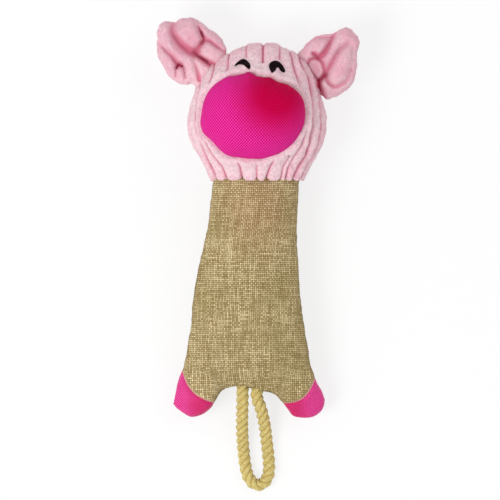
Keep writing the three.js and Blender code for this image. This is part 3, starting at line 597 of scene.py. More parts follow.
head = {
    "x": -0.8, "y": 80.0, "z": 42.0, "halfWidth": 57.0, "halfDepth": 42.5, "crown": 61.0, "jowl": 69.8,
    "squareness": 2.1, "neck": 31.3, "rows": 188, "columns": 520, "cavity": 47.2, "thickness": 3.0,
    # height, then the middle and the width against the plain ovoid
    "fit": [(141, 2.0, 0.95), (135.4, 2.6, 1.02), (130.6, 2.4, 0.98), (125.7, 1.8, 0.97), (118, 0.6, 0.975),
            (106.3, -1.2, 0.965), (96.6, -1.3, 0.955), (86.8, -0.9, 0.975), (77.1, -1.0, 0.997),
            (67.4, -1.0, 0.994), (57.7, -0.6, 0.97), (50, -0.8, 0.93), (43.1, -0.8, 0.915),
            (33.4, -0.7, 0.912), (28, -0.9, 0.92)],
    # the sewn lines of the wide ribs on the front: height, then each line from left to right
    "lines": [
        (141.0, [-42.5, -33.4, -23.0, -9.6, 3.6, 17.0, 25.3, 31.0]),
        (135.4, [-42.5, -34.4, -24.7, -10.1, 3.6, 17.4, 26.3, 32.0]),
        (125.7, [-45.0, -36.0, -25.1, -10.1, 3.6, 17.4, 27.9, 34.9]),
        (113.6, [-47.8, -38.5, -26.3, -10.9, 2.8, 17.4, 31.7, 41.7]),
        (100.6, [-49.8, -40.1, -26.3, -10.9, 2.8, 18.2, 33.6, 44.0]),
        (86.8, [-51.2, -41.7, -27.1, -12.6, 2.0, 19.0, 36.0, 44.6]),
        (70.6, [-50.6, -43.3, -27.9, -12.6, 2.0, 19.0, 38.5, 44.0]),
        (56.9, [-46.6, -41.3, -27.9, -13.4, 0.4, 16.6, 35.2, 41.7]),
        (48.0, [-43.0, -36.9, -17.4, -1.2, 13.4, 25.5, 29.2, 39.3]),
        (39.9, [-39.3, -30.4, -15.6, -1.4, 9.7, 20.7, 24.7, 33.6]),
        (28.0, [-34.4, -25.8, -13.4, -1.4, 5.5, 18.2, 21.9, 27.1])],
    "lineDepths": [1.6, 1.1, 0.9, 0.7, 1.0, 0.7, 0.9, 1.6],
    "ribDepth": 3.2, "ribPitch": 12.3, "neckPitch": 9.7, "moreLines": 6, "lowest": 0.3, "tuckedUp": 7,
    "pitchHeights": [30, 60], "seamHalf": 0.35, "roundTo": 5.0, "creaseShadeShare": 0.82, "seamWidth": 1.4,
    # where the ribs fade beside the snout, where they rise at the crown and where they hang at the neck
    "rollFade": (1.5, 6), "crownFade": (128, 141), "hangFade": (40, 29),
    # the uneven pile: height, size and seed of each layer of bumps
    "bumps": [(0.7, 15, 5), (0.35, 5, 7), (0.3, 3.1, 8), (0.3, 1.7, 9)],
    "brows": [(-13.4, 124.5), (14.8, 122)], "faceSpot": (-0.0049, 0.082), "faceSize": (0.042, 0.036),
    # groove and pitShade are painted shade for the lines and the pits
    "crest": paint(242, 201, 208), "blush": paint(242, 182, 198), "tip": paint(252, 228, 234),
    "pale": paint(240, 216, 220), "far": paint(226, 166, 184),
    "fleck": paint(176, 150, 164), "fleckShare": 0.5, "groove": paint(222, 124, 152),
    "pitShade": paint(200, 44, 92), "sheen": paint(255, 225, 232), "fineness": 900.0,
}


def headGrid():
    power = 2 / head["squareness"]
    neckShare = (head["y"] - head["neck"]) / head["jowl"]
    lastTurn = math.acos(-(neckShare ** (1 / power)))
    turns = lastTurn * (np.arange(1, head["rows"] + 1)) / head["rows"]
    rise = np.sign(np.cos(turns)) * np.abs(np.cos(turns)) ** power
    reach = np.sin(turns) ** power
    y = head["y"] + rise * np.where(rise > 0, head["crown"], head["jowl"])
    fitY, fitMiddle, fitWidth = np.array(head["fit"][::-1]).T
    middle = np.interp(y, fitY, fitMiddle)
    width = head["halfWidth"] * reach * np.interp(y, fitY, fitWidth)
    depth = head["halfDepth"] * reach
    around = 2 * np.pi * np.arange(head["columns"]) / head["columns"]
    x = middle[:, None] + np.sin(around)[None] * width[:, None]
    z = head["z"] + np.cos(around)[None] * depth[:, None]
    grid = np.stack([x, np.repeat(y[:, None], len(around), axis=1), z], axis=2)
    return grid, around


def ribLines(grid, around):
    # how deep each point lies in the lines between the ribs, and how much painted shade it gets there
    rows, columns = grid.shape[:2]
    lineY = np.array([row[0] for row in head["lines"]])[::-1]
    lineX = np.array([row[1] for row in head["lines"]])[::-1]
    more = head["moreLines"]
    depths = np.array([1.0] * more + head["lineDepths"] + [1.0] * more)
    drop, creaseShade, seam = (np.zeros((rows, columns)) for _ in range(3))
    front = np.cos(around) >= 0
    for j in range(rows):
        y = grid[j, 0, 1]
        pitch = np.interp(y, head["pitchHeights"], [head["neckPitch"], head["ribPitch"]])
        for half in (front, ~front):
            chosen = np.nonzero(half)[0]
            chosen = chosen[np.argsort(grid[j, chosen, 0])]
            x, z = grid[j, chosen, 0], grid[j, chosen, 2]
            arc = np.concatenate([[0], np.cumsum(np.hypot(np.diff(x), np.diff(z)))])
            if half is front:
                lines = np.array([np.interp(y, lineY, column) for column in lineX.T])
                at = np.interp(lines, x, arc) + np.minimum(0, lines - x[0]) + np.maximum(0, lines - x[-1])
                knots = np.concatenate([at[0] - pitch * np.arange(more, 0, -1), at,
                                        at[-1] + pitch * np.arange(1, more + 1)])
            else:
                centre = np.interp(head["x"], x, arc)
                knots = centre + pitch * (np.arange(-9, 11) - 0.5)
            number = np.interp(arc, knots, np.arange(len(knots)))
            nearest = np.clip(np.round(number).astype(int), 0, len(knots) - 1)
            away = np.maximum(np.abs(arc - knots[nearest]) - head["seamHalf"], 0)
            spacing = np.where(arc > knots[nearest], np.append(np.diff(knots), 99)[nearest],
                               np.insert(np.diff(knots), 0, 99)[nearest])
            deep = depths[nearest] if half is front else np.ones(len(arc))
            narrow, wide = np.minimum(head["roundTo"], spacing / 2), spacing / 2
            shape = 0.5 * rounded(away, narrow) + 0.5 * rounded(away, wide)
            drop[j, chosen] = deep * (1 - shape)
            creaseShade[j, chosen] = head["creaseShadeShare"] * deep * (1 - shape) ** 1.3
            edge = np.minimum(arc, arc[-1] - arc)
            seam[j, chosen] = closeTo(edge, head["seamWidth"])
    return drop, creaseShade, seam


def makeHead():
    grid, around = headGrid()
    rows, columns = grid.shape[:2]
    normals = gridNormals(grid)
    drop, creaseShade, seam = ribLines(grid, around)
    x, y = grid[..., 0], grid[..., 1]
    front = np.repeat((np.cos(around) > 0)[None], rows, axis=0)
    flat = grid.reshape(-1, 3)

    def bumps(size, seed, stretch=1):
        return softNoise(flat * stretch, size, seed).reshape(rows, columns)

    offX, offY = x - snout["x"], y - snout["y"]
    turn = np.arctan2(offY, offX)
    fromEdge = np.hypot(offX, offY) - snoutEdge(turn)
    fromSnout = np.where(front, fromEdge, 99)
    # the ribs fade in the roll round the snout and in the pressed plush under the eyes
    fade = smoothStep(fromSnout, *head["rollFade"])
    face = smoothStep(np.abs(x - 1.5), 24, 19) * smoothStep(y, 126.5, 123.5) * smoothStep(y, 108, 111)
    fade *= 1 - np.where(front, 0.85 * face, 0)
    brows = np.zeros_like(x)
    for eyeX, eyeY in head["brows"]:
        brows = np.maximum(brows, closeTo(((x - eyeX) / 8) ** 2 + ((y - eyeY) / 6) ** 2, 1))
    fade *= 1 - np.where(front, 0.9 * brows, 0)
    push = -head["ribDepth"] * drop * fade * (1 + 0.35 * bumps(9, 3, stretch=(1, 0.5, 1)))
    push -= 1.5 * seam
    for high, size, seed in head["bumps"]:
        push += high * bumps(size, seed)
    # the middle ribs stand a little higher over the crown
    crown = smoothStep(y, *head["crownFade"])
    push += crown * (1.6 * smoothStep(np.abs(x - 4), 15.5, 12.5) - 0.8)
    lip = 2.2 * closeTo(fromSnout - 4.2, 3.0) - 1.4 * closeTo(fromSnout, 1.4)
    push += np.where(front, lip * (1 + 0.3 * bumps(6, 11)), 0)
    # painted shade in the lines between the ribs; a little darker along the side seams too
    creaseShades = creaseShade * fade + 0.25 * seam
    # towards the neck the plush is gathered, and its cut edge hangs in scallops over the linen
    hang = smoothStep(y, *head["hangFade"])
    grid = grid + normals * push[..., None]
    grid[..., 1] -= hang * (1.6 - 3.0 * np.clip(drop, 0, 1)) * fade
    inside = np.where(front, fromSnout < 0, False)
    border = np.abs(fromSnout) < 2
    pulled = np.sign(fromSnout) * 2 * (np.abs(fromSnout) / 2) ** 2
    shift = np.where(border, pulled - fromSnout, 0)
    # the rib ends push over the edge of the snout in uneven scallops
    bulge = np.maximum(0.15 + bumps(5.5, 12), 0)
    shift -= np.where(front, 1.9 * bulge * closeTo(fromSnout - 0.8, 1.8), 0)
    grid[..., 0] += shift * np.cos(turn)
    grid[..., 1] += shift * np.sin(turn)
    grid[..., 2] = np.where(inside, head["cavity"], grid[..., 2])
    grid[..., 2] = np.maximum(grid[..., 2], head["lowest"])
    # the cut edge turns in, under the plush and up inside the neck
    last = grid[-1]
    centre = np.array([head["x"], head["neck"], head["z"]])
    inwards = (centre - last) * (1, 0, 1)
    inwards /= np.linalg.norm(inwards, axis=1, keepdims=True)
    tuck = last + inwards * head["thickness"]
    up = tuck + inwards * 1.5 + (0, head["tuckedUp"], 0)
    rings = np.concatenate([grid, [last + inwards * 1.2 - (0, 0.5, 0), tuck, up]])
    creaseShades = np.concatenate([creaseShades, *[creaseShades[-1:]] * 3])
    rings[..., 2] = np.maximum(rings[..., 2], head["lowest"])
    top = (head["fit"][0][1], head["y"] + head["crown"], head["z"])
    points = np.concatenate([rings.reshape(-1, 3), [top, centre + (0, head["tuckedUp"], 0)]])
    faces = ringFaces(len(rings), columns)
    piece = newPiece("headPlush", points, faces)
    setAttribute(piece, "creaseShade", np.concatenate([creaseShades.ravel(), [0, 0]]))
    piece.data.materials.append(plush)
    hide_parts("head_front_panel", "head_back_panel", "head_stuffing")
    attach(piece, "torso")
    print("head shaped,", len(faces), "faces")
    return piece


plush = plushMaterial(head)
headPiece = makeHead()


def makeSnout():
    columns, rise, thickness = snout["columns"], snout["rise"], snout["thickness"]
    around = 2 * np.pi * np.arange(columns) / columns
    # the domed cloth stretches a little between the corners of its edge
    edge = snoutEdge(around) - snout["inset"]
    rings = []
    for tilt in np.linspace(0, 1, snout["rings"] + 1)[1:] * np.pi / 2:
        rings.append(ringAt(edge * math.sin(tilt) ** snout["fullness"], around, rise * math.cos(tilt)))
    deep = snout["rim"] - snout["skirt"]
    rings += [rings[-1] - (0, 0, deep * share) for share in (0.25, 0.5, 0.75, 1.0)]
    outer = np.array(rings)
    uneven = snout["bumps"] * softNoise(outer.reshape(-1, 3), 17, 21).reshape(outer.shape[:2])
    outer[..., 2] += uneven * smoothStep(outer[..., 2], 2, 10)
    peak = np.array([[[0, 0, rise]] * columns])
    arcs = np.cumsum(np.linalg.norm(np.diff(outer, axis=0, prepend=peak), axis=2), axis=0)
    narrower = 1 - thickness / snout["radius"]
    inner = outer[::-1] * (narrower, narrower, 1)
    inner[..., 2] -= thickness * np.clip(inner[..., 2] / rise, 0, 1)
    rings = np.concatenate([outer, inner])
    points = np.concatenate([rings.reshape(-1, 3), [[0, 0, rise], [0, 0, rise - thickness]]])
    faces = ringFaces(len(rings), columns)
    # the print spreads from the middle of the dome
    spread = np.stack([np.cos(around), np.sin(around)], axis=1)
    ringUv = np.concatenate([arcs, arcs[::-1]])[..., None] * spread
    allUv = np.vstack([ringUv.reshape(-1, 2), np.zeros((2, 2))])
    uvs = allUv[[k for face in faces for k in face]]
    piece = newPiece("snoutCap", points + (snout["x"], snout["y"], snout["rim"]), faces, uvs)
    piece.data.materials.append(snoutMaterial(snout))
    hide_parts("snout_dome")
    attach(piece, "torso")
    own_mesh(piece)
    print("snout domed")


makeSnout()

# the pad under the cap: its lower rings are shares of its edge, with their heights
pad = {
    "inset": 2.2, "low": 57.3, "rise": 26.0, "rings": 24, "columns": 96, "bumps": 0.4,
    "lower": [(1, 62), (0.985, 58.5), (0.95, 57.3), (0.5, 57.3)],
}


def makeSnoutPad():
    around = 2 * np.pi * np.arange(pad["columns"]) / pad["columns"]
    edge = snoutEdge(around) - pad["inset"]
    tilts = np.pi / 2 * np.arange(1, pad["rings"] + 1) / pad["rings"]
    rim, rise = snout["rim"], pad["rise"]
    rings = [ringAt(edge * math.sin(tilt), around, rim + rise * math.cos(tilt)) for tilt in tilts]
    rings += [ringAt(edge * share, around, height) for share, height in pad["lower"]]
    rings = np.array(rings)
    uneven = pad["bumps"] * softNoise(rings.reshape(-1, 3), 8, 61).reshape(rings.shape[:2])
    rings[..., 2] += uneven * (rings[..., 2] > rim + 1)
    points = np.concatenate([rings.reshape(-1, 3), [[0, 0, rim + rise], [0, 0, pad["low"]]]])
    piece = newPiece("snoutPad", points + (snout["x"], snout["y"], 0), ringFaces(len(rings), pad["columns"]))
    piece.data.materials.append(filling)
    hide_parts("snout_stuffing")
    # the pad flattens onto the squeaker under the pressed cap
    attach(piece, "torso")
    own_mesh(piece)


filling = hiddenMaterial("fillingFibre", paint(246, 244, 238), paint(226, 224, 218), 300.0, 1.0, 0.002)
makeSnoutPad()

body = {
    "columns": 60, "rows": 100, "collar": 8.0, "taper": 0.34,
    "left": [
        (-37.4, 28.5), (-39.4, 13.9), (-41.0, -0.6), (-44.0, -15.2), (-47.4, -29.8), (-50.2, -44.4),
        (-52.9, -59.0), (-54.6, -73.5), (-55.6, -88.1), (-57.9, -102.7), (-60.6, -117.3), (-62.6, -127.0),
        (-65.6, -138.0), (-68.0, -147.6), (-68.6, -151.2)],
    "right": [
        (33.9, 28.5), (32.8, 13.9), (32.0, -0.6), (31.6, -15.2), (32.2, -29.8), (33.4, -44.4), (34.5, -59.0),
        (36.2, -73.5), (38.2, -88.1), (40.3, -102.7), (42.7, -117.3), (44.7, -127.0), (47.6, -135.2),
        (50.8, -141.6), (53.2, -147.6)],
    "bottom": [
        (-68.6, -151.2), (-65.4, -154.4), (-61.6, -157.2), (-57.8, -159.8), (-54.4, -160.9), (-50.4, -160.1),
        (-46.4, -158.9), (-42.7, -157.0), (-39.4, -153.9), (-36.5, -149.9), (-32.6, -144.9), (-28.2, -141.4),
        (-23.8, -139.4), (-19.4, -138.5), (-12.4, -138.8), (-4.6, -139.9), (3.9, -141.9), (8.6, -143.0),
        (13.4, -145.2), (18.6, -149.1), (21.6, -151.8), (24.3, -155.4), (26.8, -159.2), (29.8, -161.6),
        (35.0, -162.3), (40.3, -162.4), (45.6, -161.0), (50.0, -157.4), (52.6, -153.4), (53.2, -147.6)],
    "seamHeights": [
        (28.5, 42.0), (-0.1, 34.3), (-30.6, 27.4), (-49.6, 26.5), (-99.2, 25.5), (-143.0, 20.7),
        (-162.1, 18.0)],
    "halfDepths": [(28.5, 25.3), (-49.6, 27.0), (-99.2, 25.6), (-162.1, 24.0)],
    "simSteps": 20, "cap": 3.0, "pressure": 4.0, "endRows": 40, "lowest": 0.4, "neck": (-1.8, 28.5, 42.0),
    # where the painted shadow of the head lies on the linen under the neck, and how far it spreads
    "neckShadowSpot": (-0.002, 0.008), "neckShadowSize": (1, 1.25),
    # height, size, seed and stretch of each kind of fold in the linen
    "folds": {
        "broad": (0.6, 16, 31, (1, 0.45, 1)), "cross": (0.35, 9, 33, (0.5, 1, 1)),
        "pucker": (0.5, 3.2, 35, (0.25, 1, 0.6)), "gather": (0.7, 5, 37, (1, 0.12, 1))},
    # gap is painted shade, for the holes of the weave and the seams
    "pitch": 1.6, "light": paint(242, 222, 172), "dark": paint(170, 146, 98), "gap": paint(54, 40, 20),
    # neckShadow is the painted shadow of the head
    "neckShadow": paint(184, 128, 96), "olive": paint(150, 132, 74), "hem": paint(236, 190, 172),
}
feet = {
    "leftSeam": [(-78, -112), (-63.6, -122.6), (-61.2, -127.8), (-58.6, -134.6), (-54.7, -140.5),
                 (-50.8, -144.2), (-46.6, -146.8), (-42.2, -148.9), (-38.0, -150.3), (-30.5, -152.4)],
    "rightSeam": [(62, -116), (48.4, -125.6), (45.8, -131.9), (43.0, -138.4), (38.5, -144.8), (34.0, -148.4),
                  (28.8, -150.3), (25.0, -150.9), (21.5, -151.0), (14.0, -151.0)],
    "middles": [(-54, -144), (38, -144)], "reach": 25, "grow": 0.12,
    # deep is painted shade in the rib troughs, inner painted shade on the inner side of each foot
    "base": paint(255, 72, 170), "deep": paint(184, 0, 94), "inner": paint(206, 0, 92),
    "pitch": 1.5, "stitch": 0.9, "turn": -45, "between": -9.0, "far": (120, -190),
}


def bodyGrid():
    columns, rows, taper, endRows = body["columns"], body["rows"], body["taper"], body["endRows"]
    fineLeft, fineRight = smoothLine(body["left"], 400), smoothLine(body["right"], 400)
    fineEnd = smoothLine(body["bottom"], 800)
    across = (1 - np.cos(np.pi * np.arange(columns + 1) / columns)) / 2
    narrowing = 1 - np.sin(np.pi / 2 * np.arange(1, endRows + 1) / endRows)
    down = np.concatenate([np.linspace(0, 1 - taper, rows - endRows + 1), 1 - taper * narrowing])
    v, u = np.meshgrid(down, across, indexing="ij")
    west, east = pointsAlong(fineLeft, v), pointsAlong(fineRight, v)
    v3, u3 = v[..., None], u[..., None]
    start = np.array(body["left"][0]) * (1 - u3) + np.array(body["right"][0]) * u3
    end = pointsAlong(fineEnd, u)
    mixed = (1 - v3) * start + v3 * end + (1 - u3) * west + u3 * east
    mixed -= (1 - v3) * start + v3 * ((1 - u3) * fineLeft[-1] + u3 * fineRight[-1])
    seamY, seamZ = np.array(body["seamHeights"][::-1]).T
    depthY, depthZ = np.array(body["halfDepths"][::-1]).T
    swell = np.sin(np.pi * np.arange(columns + 1) / columns)[None]
    full = np.sqrt(np.maximum(1 - (np.maximum(down - (1 - taper), 0) / taper) ** 2, 0))[:, None]
    depth = np.interp(mixed[..., 1], depthY, depthZ) * swell * full
    middle = np.interp(mixed[..., 1], seamY, seamZ)
    front = np.dstack([mixed, middle + depth])
    back = np.dstack([mixed, np.maximum(middle - depth, body["lowest"])])
    collar = np.array([0, body["collar"], 0])
    front = np.concatenate([front[:1] + collar, front[:1] + collar / 2, front])
    back = np.concatenate([back[:1] + collar, back[:1] + collar / 2, back])
    return front, back


def makeBody():
    front, back = bodyGrid()
    rows, columns = front.shape[:2]
    frontIndex = np.arange(rows * columns).reshape(rows, columns)
    backIndex = frontIndex + rows * columns
    backIndex[:, 0], backIndex[:, -1] = frontIndex[:, 0], frontIndex[:, -1]
    backIndex[-1] = frontIndex[-1]
    uvs = []
    for grid in (front, back):
        step = np.linalg.norm(np.diff(grid, axis=1, prepend=grid[:, :1]), axis=2)
        u = np.cumsum(step, axis=1)
        u -= u[:, columns // 2][:, None]
        uvs.append(np.dstack([u, grid[..., 1]]))
    faces, corners = [], []
    for j in range(rows - 1):
        for i in range(columns - 1):
            square = [(j, i), (j + 1, i), (j + 1, i + 1), (j, i + 1)]
            for index, uv, spots in ((frontIndex, uvs[0], square), (backIndex, uvs[1], square[::-1])):
                faces.append(tuple(int(index[spot]) for spot in spots))
                corners += [uv[spot] for spot in spots]
    neck = np.array(body["neck"]) + (0, body["collar"], 0)
    points = np.concatenate([front.reshape(-1, 3), back.reshape(-1, 3), [neck]])
    ring = list(frontIndex[0]) + list(backIndex[0][-2:0:-1])
    for k, here in enumerate(ring):
        faces.append((len(points) - 1, int(here), int(ring[(k + 1) % len(ring)])))
        corners += [(0, 0)] * 3
    used = np.unique(np.concatenate([np.array(face) for face in faces]))
    renumber = np.full(len(points), -1)
    renumber[used] = np.arange(len(used))
    points = points[used]
    faces = [tuple(int(renumber[k]) for k in face) for face in faces]
    piece = newPiece("bodyLinen", points, faces, corners)
    # the seams and the neck are held while the cloth swells
    held = [frontIndex[:, 0], frontIndex[:, -1], frontIndex[-1], frontIndex[:4].ravel(),
            backIndex[:4].ravel()]
    pinned = {int(renumber[k]) for k in np.concatenate(held)} | {len(points) - 1}
    pinned = [k for k in pinned if k >= 0]
    swellCloth(piece, pinned)
    selectOnly(piece)
    finer = piece.modifiers.new("finer", "SUBSURF")
    finer.levels = finer.render_levels = 1
    finer.boundary_smooth = "PRESERVE_CORNERS"
    applyModifiers(piece)
    return piece


def swellCloth(piece, pinned):
    group = piece.vertex_groups.new(name="seams")
    group.add(pinned, 1.0, "REPLACE")
    before = meshPoints(piece)
    cloth = piece.modifiers.new("cloth", "CLOTH")
    settings = cloth.settings
    settings.quality = 5
    settings.mass = 0.3
    settings.tension_stiffness = settings.compression_stiffness = 15
    settings.shear_stiffness = 8
    settings.bending_stiffness = 0.6
    settings.use_pressure = True
    settings.uniform_pressure_force = body["pressure"]
    settings.effector_weights.gravity = 0
    settings.vertex_group_mass = "seams"
    for step in range(1, body["simSteps"] + 1):
        bpy.context.scene.frame_set(step)
    swollen = piece.evaluated_get(bpy.context.evaluated_depsgraph_get())
    after = np.zeros(len(swollen.data.vertices) * 3)
    swollen.data.vertices.foreach_get("co", after)
    move = after.reshape(-1, 3) / mm - before
    size = np.linalg.norm(move, axis=1, keepdims=True)
    print("cloth moved up to", round(float(size.max()), 2), "mm")
    move *= np.minimum(1, body["cap"] / np.maximum(size, 1e-9))
    piece.modifiers.remove(cloth)
    after = before + move
    after[:, 2] = np.maximum(after[:, 2], body["lowest"])
    setPoints(piece, after)
    bpy.context.scene.frame_set(1)


def vertexNormals(piece):
    normals = np.zeros(len(piece.data.vertices) * 3)
    piece.data.vertices.foreach_get("normal", normals)
    return normals.reshape(-1, 3)


def wrinkleBody(piece):
    points = meshPoints(piece)
    normals = vertexNormals(piece)
    x, y = points[:, 0], points[:, 1]
    outline = np.vstack([smoothLine(body["left"], 120), smoothLine(body["bottom"], 200),
                         smoothLine(body["right"], 120)[::-1]])
    fromSeam = distanceTo(outline, x, y)
    feetLines = [smoothLine(feet[name], 60) for name in ("leftSeam", "rightSeam")]
    fromFoot = np.minimum(*[distanceTo(line, x, y) for line in feetLines])
    folds = {}
    for kind, (high, size, seed, stretch) in body["folds"].items():
        folds[kind] = high * softNoise(points * stretch, size, seed)
    push = folds["broad"] + folds["cross"] - 0.8 * closeTo(fromSeam, 1.3)
    # short puckers run in from the side seams, and gathers down from the neck
    push += folds["pucker"] * closeTo(fromSeam - 3, 5)
    push += folds["gather"] * smoothStep(y, 5, 28)
    groove = closeTo(fromFoot, 1.1)
    inside = smoothStep(fromSeam, 1, 7)
    push -= 1.3 * groove * inside
    push += 0.5 * closeTo(fromFoot - 3, 2) * inside
    points += normals * push[:, None]
    # the feet are stuffed out to their outline, their corners turned out blunt
    for middleX, middleY in feet["middles"]:
        out = points[:, :2] - (middleX, middleY)
        share = smoothStep(feet["reach"] - np.linalg.norm(out, axis=1), 0, 10)
        points[:, :2] += out * feet["grow"] * share[:, None]
    for cornerX, cornerY, inwards in ((*body["left"][-1], 0.3), (*body["right"][-1], -0.2)):
        points[:, 0] += inwards * closeTo(np.hypot(x - cornerX, y - cornerY), 2.4)
    points[:, 2] = np.maximum(points[:, 2], body["lowest"])
    setPoints(piece, points)
    # painted shade in the groove round the feet; darker along the side seams too
    setAttribute(piece, "creaseShade", np.clip(0.15 * groove + 0.35 * closeTo(fromSeam, 1.2), 0, 1))
    setAttribute(piece, "hem", closeTo(fromFoot, 0.9))


def footSide(name, side, x, y):
    # how far each point lies from a foot's seam, less than nothing on the foot
    seam = smoothLine(feet[name], 60)
    # the outline is closed well outside the foot
    farX, farY = side * feet["far"][0], feet["far"][1]
    outline = np.vstack([seam, [(seam[-1, 0], farY), (farX, farY), (farX, seam[0, 1])]])
    inside = np.zeros(len(x), dtype=bool)
    for (aX, aY), (bX, bY) in zip(outline, np.roll(outline, -1, axis=0)):
        if aY != bY:
            inside ^= ((aY > y) != (bY > y)) & (x < (bX - aX) * (y - aY) / (bY - aY) + aX)
    away = np.maximum(distanceTo(seam, x, y), 0.001)
    return np.where(inside, -away, away)


def cutSeam(mesh, values):
    # each edge that crosses the seam gets a point on it, and each face between two such points is split
    ends = [(edge, edge.verts[0], edge.verts[1]) for edge in mesh.edges]
    onSeam = set()
    for edge, first, last in ends:
        here, there = values[first.index], values[last.index]
        if (here < 0) != (there < 0):
            onSeam.add(bmesh.utils.edge_split(edge, first, here / (here - there))[1])
    for face in list(mesh.faces):
        met = [vert for vert in face.verts if vert in onSeam]
        if len(met) == 2:
            bmesh.utils.face_split(face, met[0], met[1])
    return onSeam


def keepSide(source, values, onFoot):
    mesh = bmesh.new()
    mesh.from_mesh(source)
    count = len(mesh.verts)
    onSeam = cutSeam(mesh, values)
    away = []
    for face in mesh.faces:
        own = [values[vert.index] for vert in face.verts if vert not in onSeam and 0 <= vert.index < count]
        if own and (sum(own) < 0) != onFoot:
            away.append(face)
    bmesh.ops.delete(mesh, geom=away, context="FACES")
    edges = [edge for edge in mesh.edges if edge.is_boundary]
    rim = {vert for edge in edges for vert in edge.verts}
    middle = mesh.verts.new(sum((vert.co for vert in rim), Vector()) / len(rim))
    for edge in edges:
        wall = mesh.faces.new((edge.verts[0], edge.verts[1], middle))
        wall.smooth = False
        edge.smooth = False
    bmesh.ops.recalc_face_normals(mesh, faces=mesh.faces)
    mesh.to_mesh(source)
    mesh.free()


def splitFeet(piece):
    nylon = footMaterial(feet)
    linen = linenMaterial(body)
    for side, seamName, footName, slotName in (
            (-1, "leftSeam", "footLeft", "left"), (1, "rightSeam", "footRight", "right")):
        points = meshPoints(piece)
        values = footSide(seamName, side, points[:, 0], points[:, 1])
        foot = piece.copy()
        foot.data = piece.data.copy()
        foot.name = footName
        bpy.context.scene.collection.objects.link(foot)
        keepSide(foot.data, values, True)
        keepSide(piece.data, values, False)
        foot.data.materials.clear()
        foot.data.materials.append(nylon)
        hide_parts(*[f"foot_{slotName}_{part}" for part in ("front_panel", "back_panel", "stuffing")])
        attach(foot, "torso")
        print(footName, "cut off with", len(foot.data.polygons), "faces")
    piece.data.materials.clear()
    piece.data.materials.append(linen)
    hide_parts("body_front_panel", "body_back_panel", "body_stuffing")
    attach(piece, "torso")


bodyPiece = makeBody()
wrinkleBody(bodyPiece)
splitFeet(bodyPiece)
print("body stuffed and its feet split off")

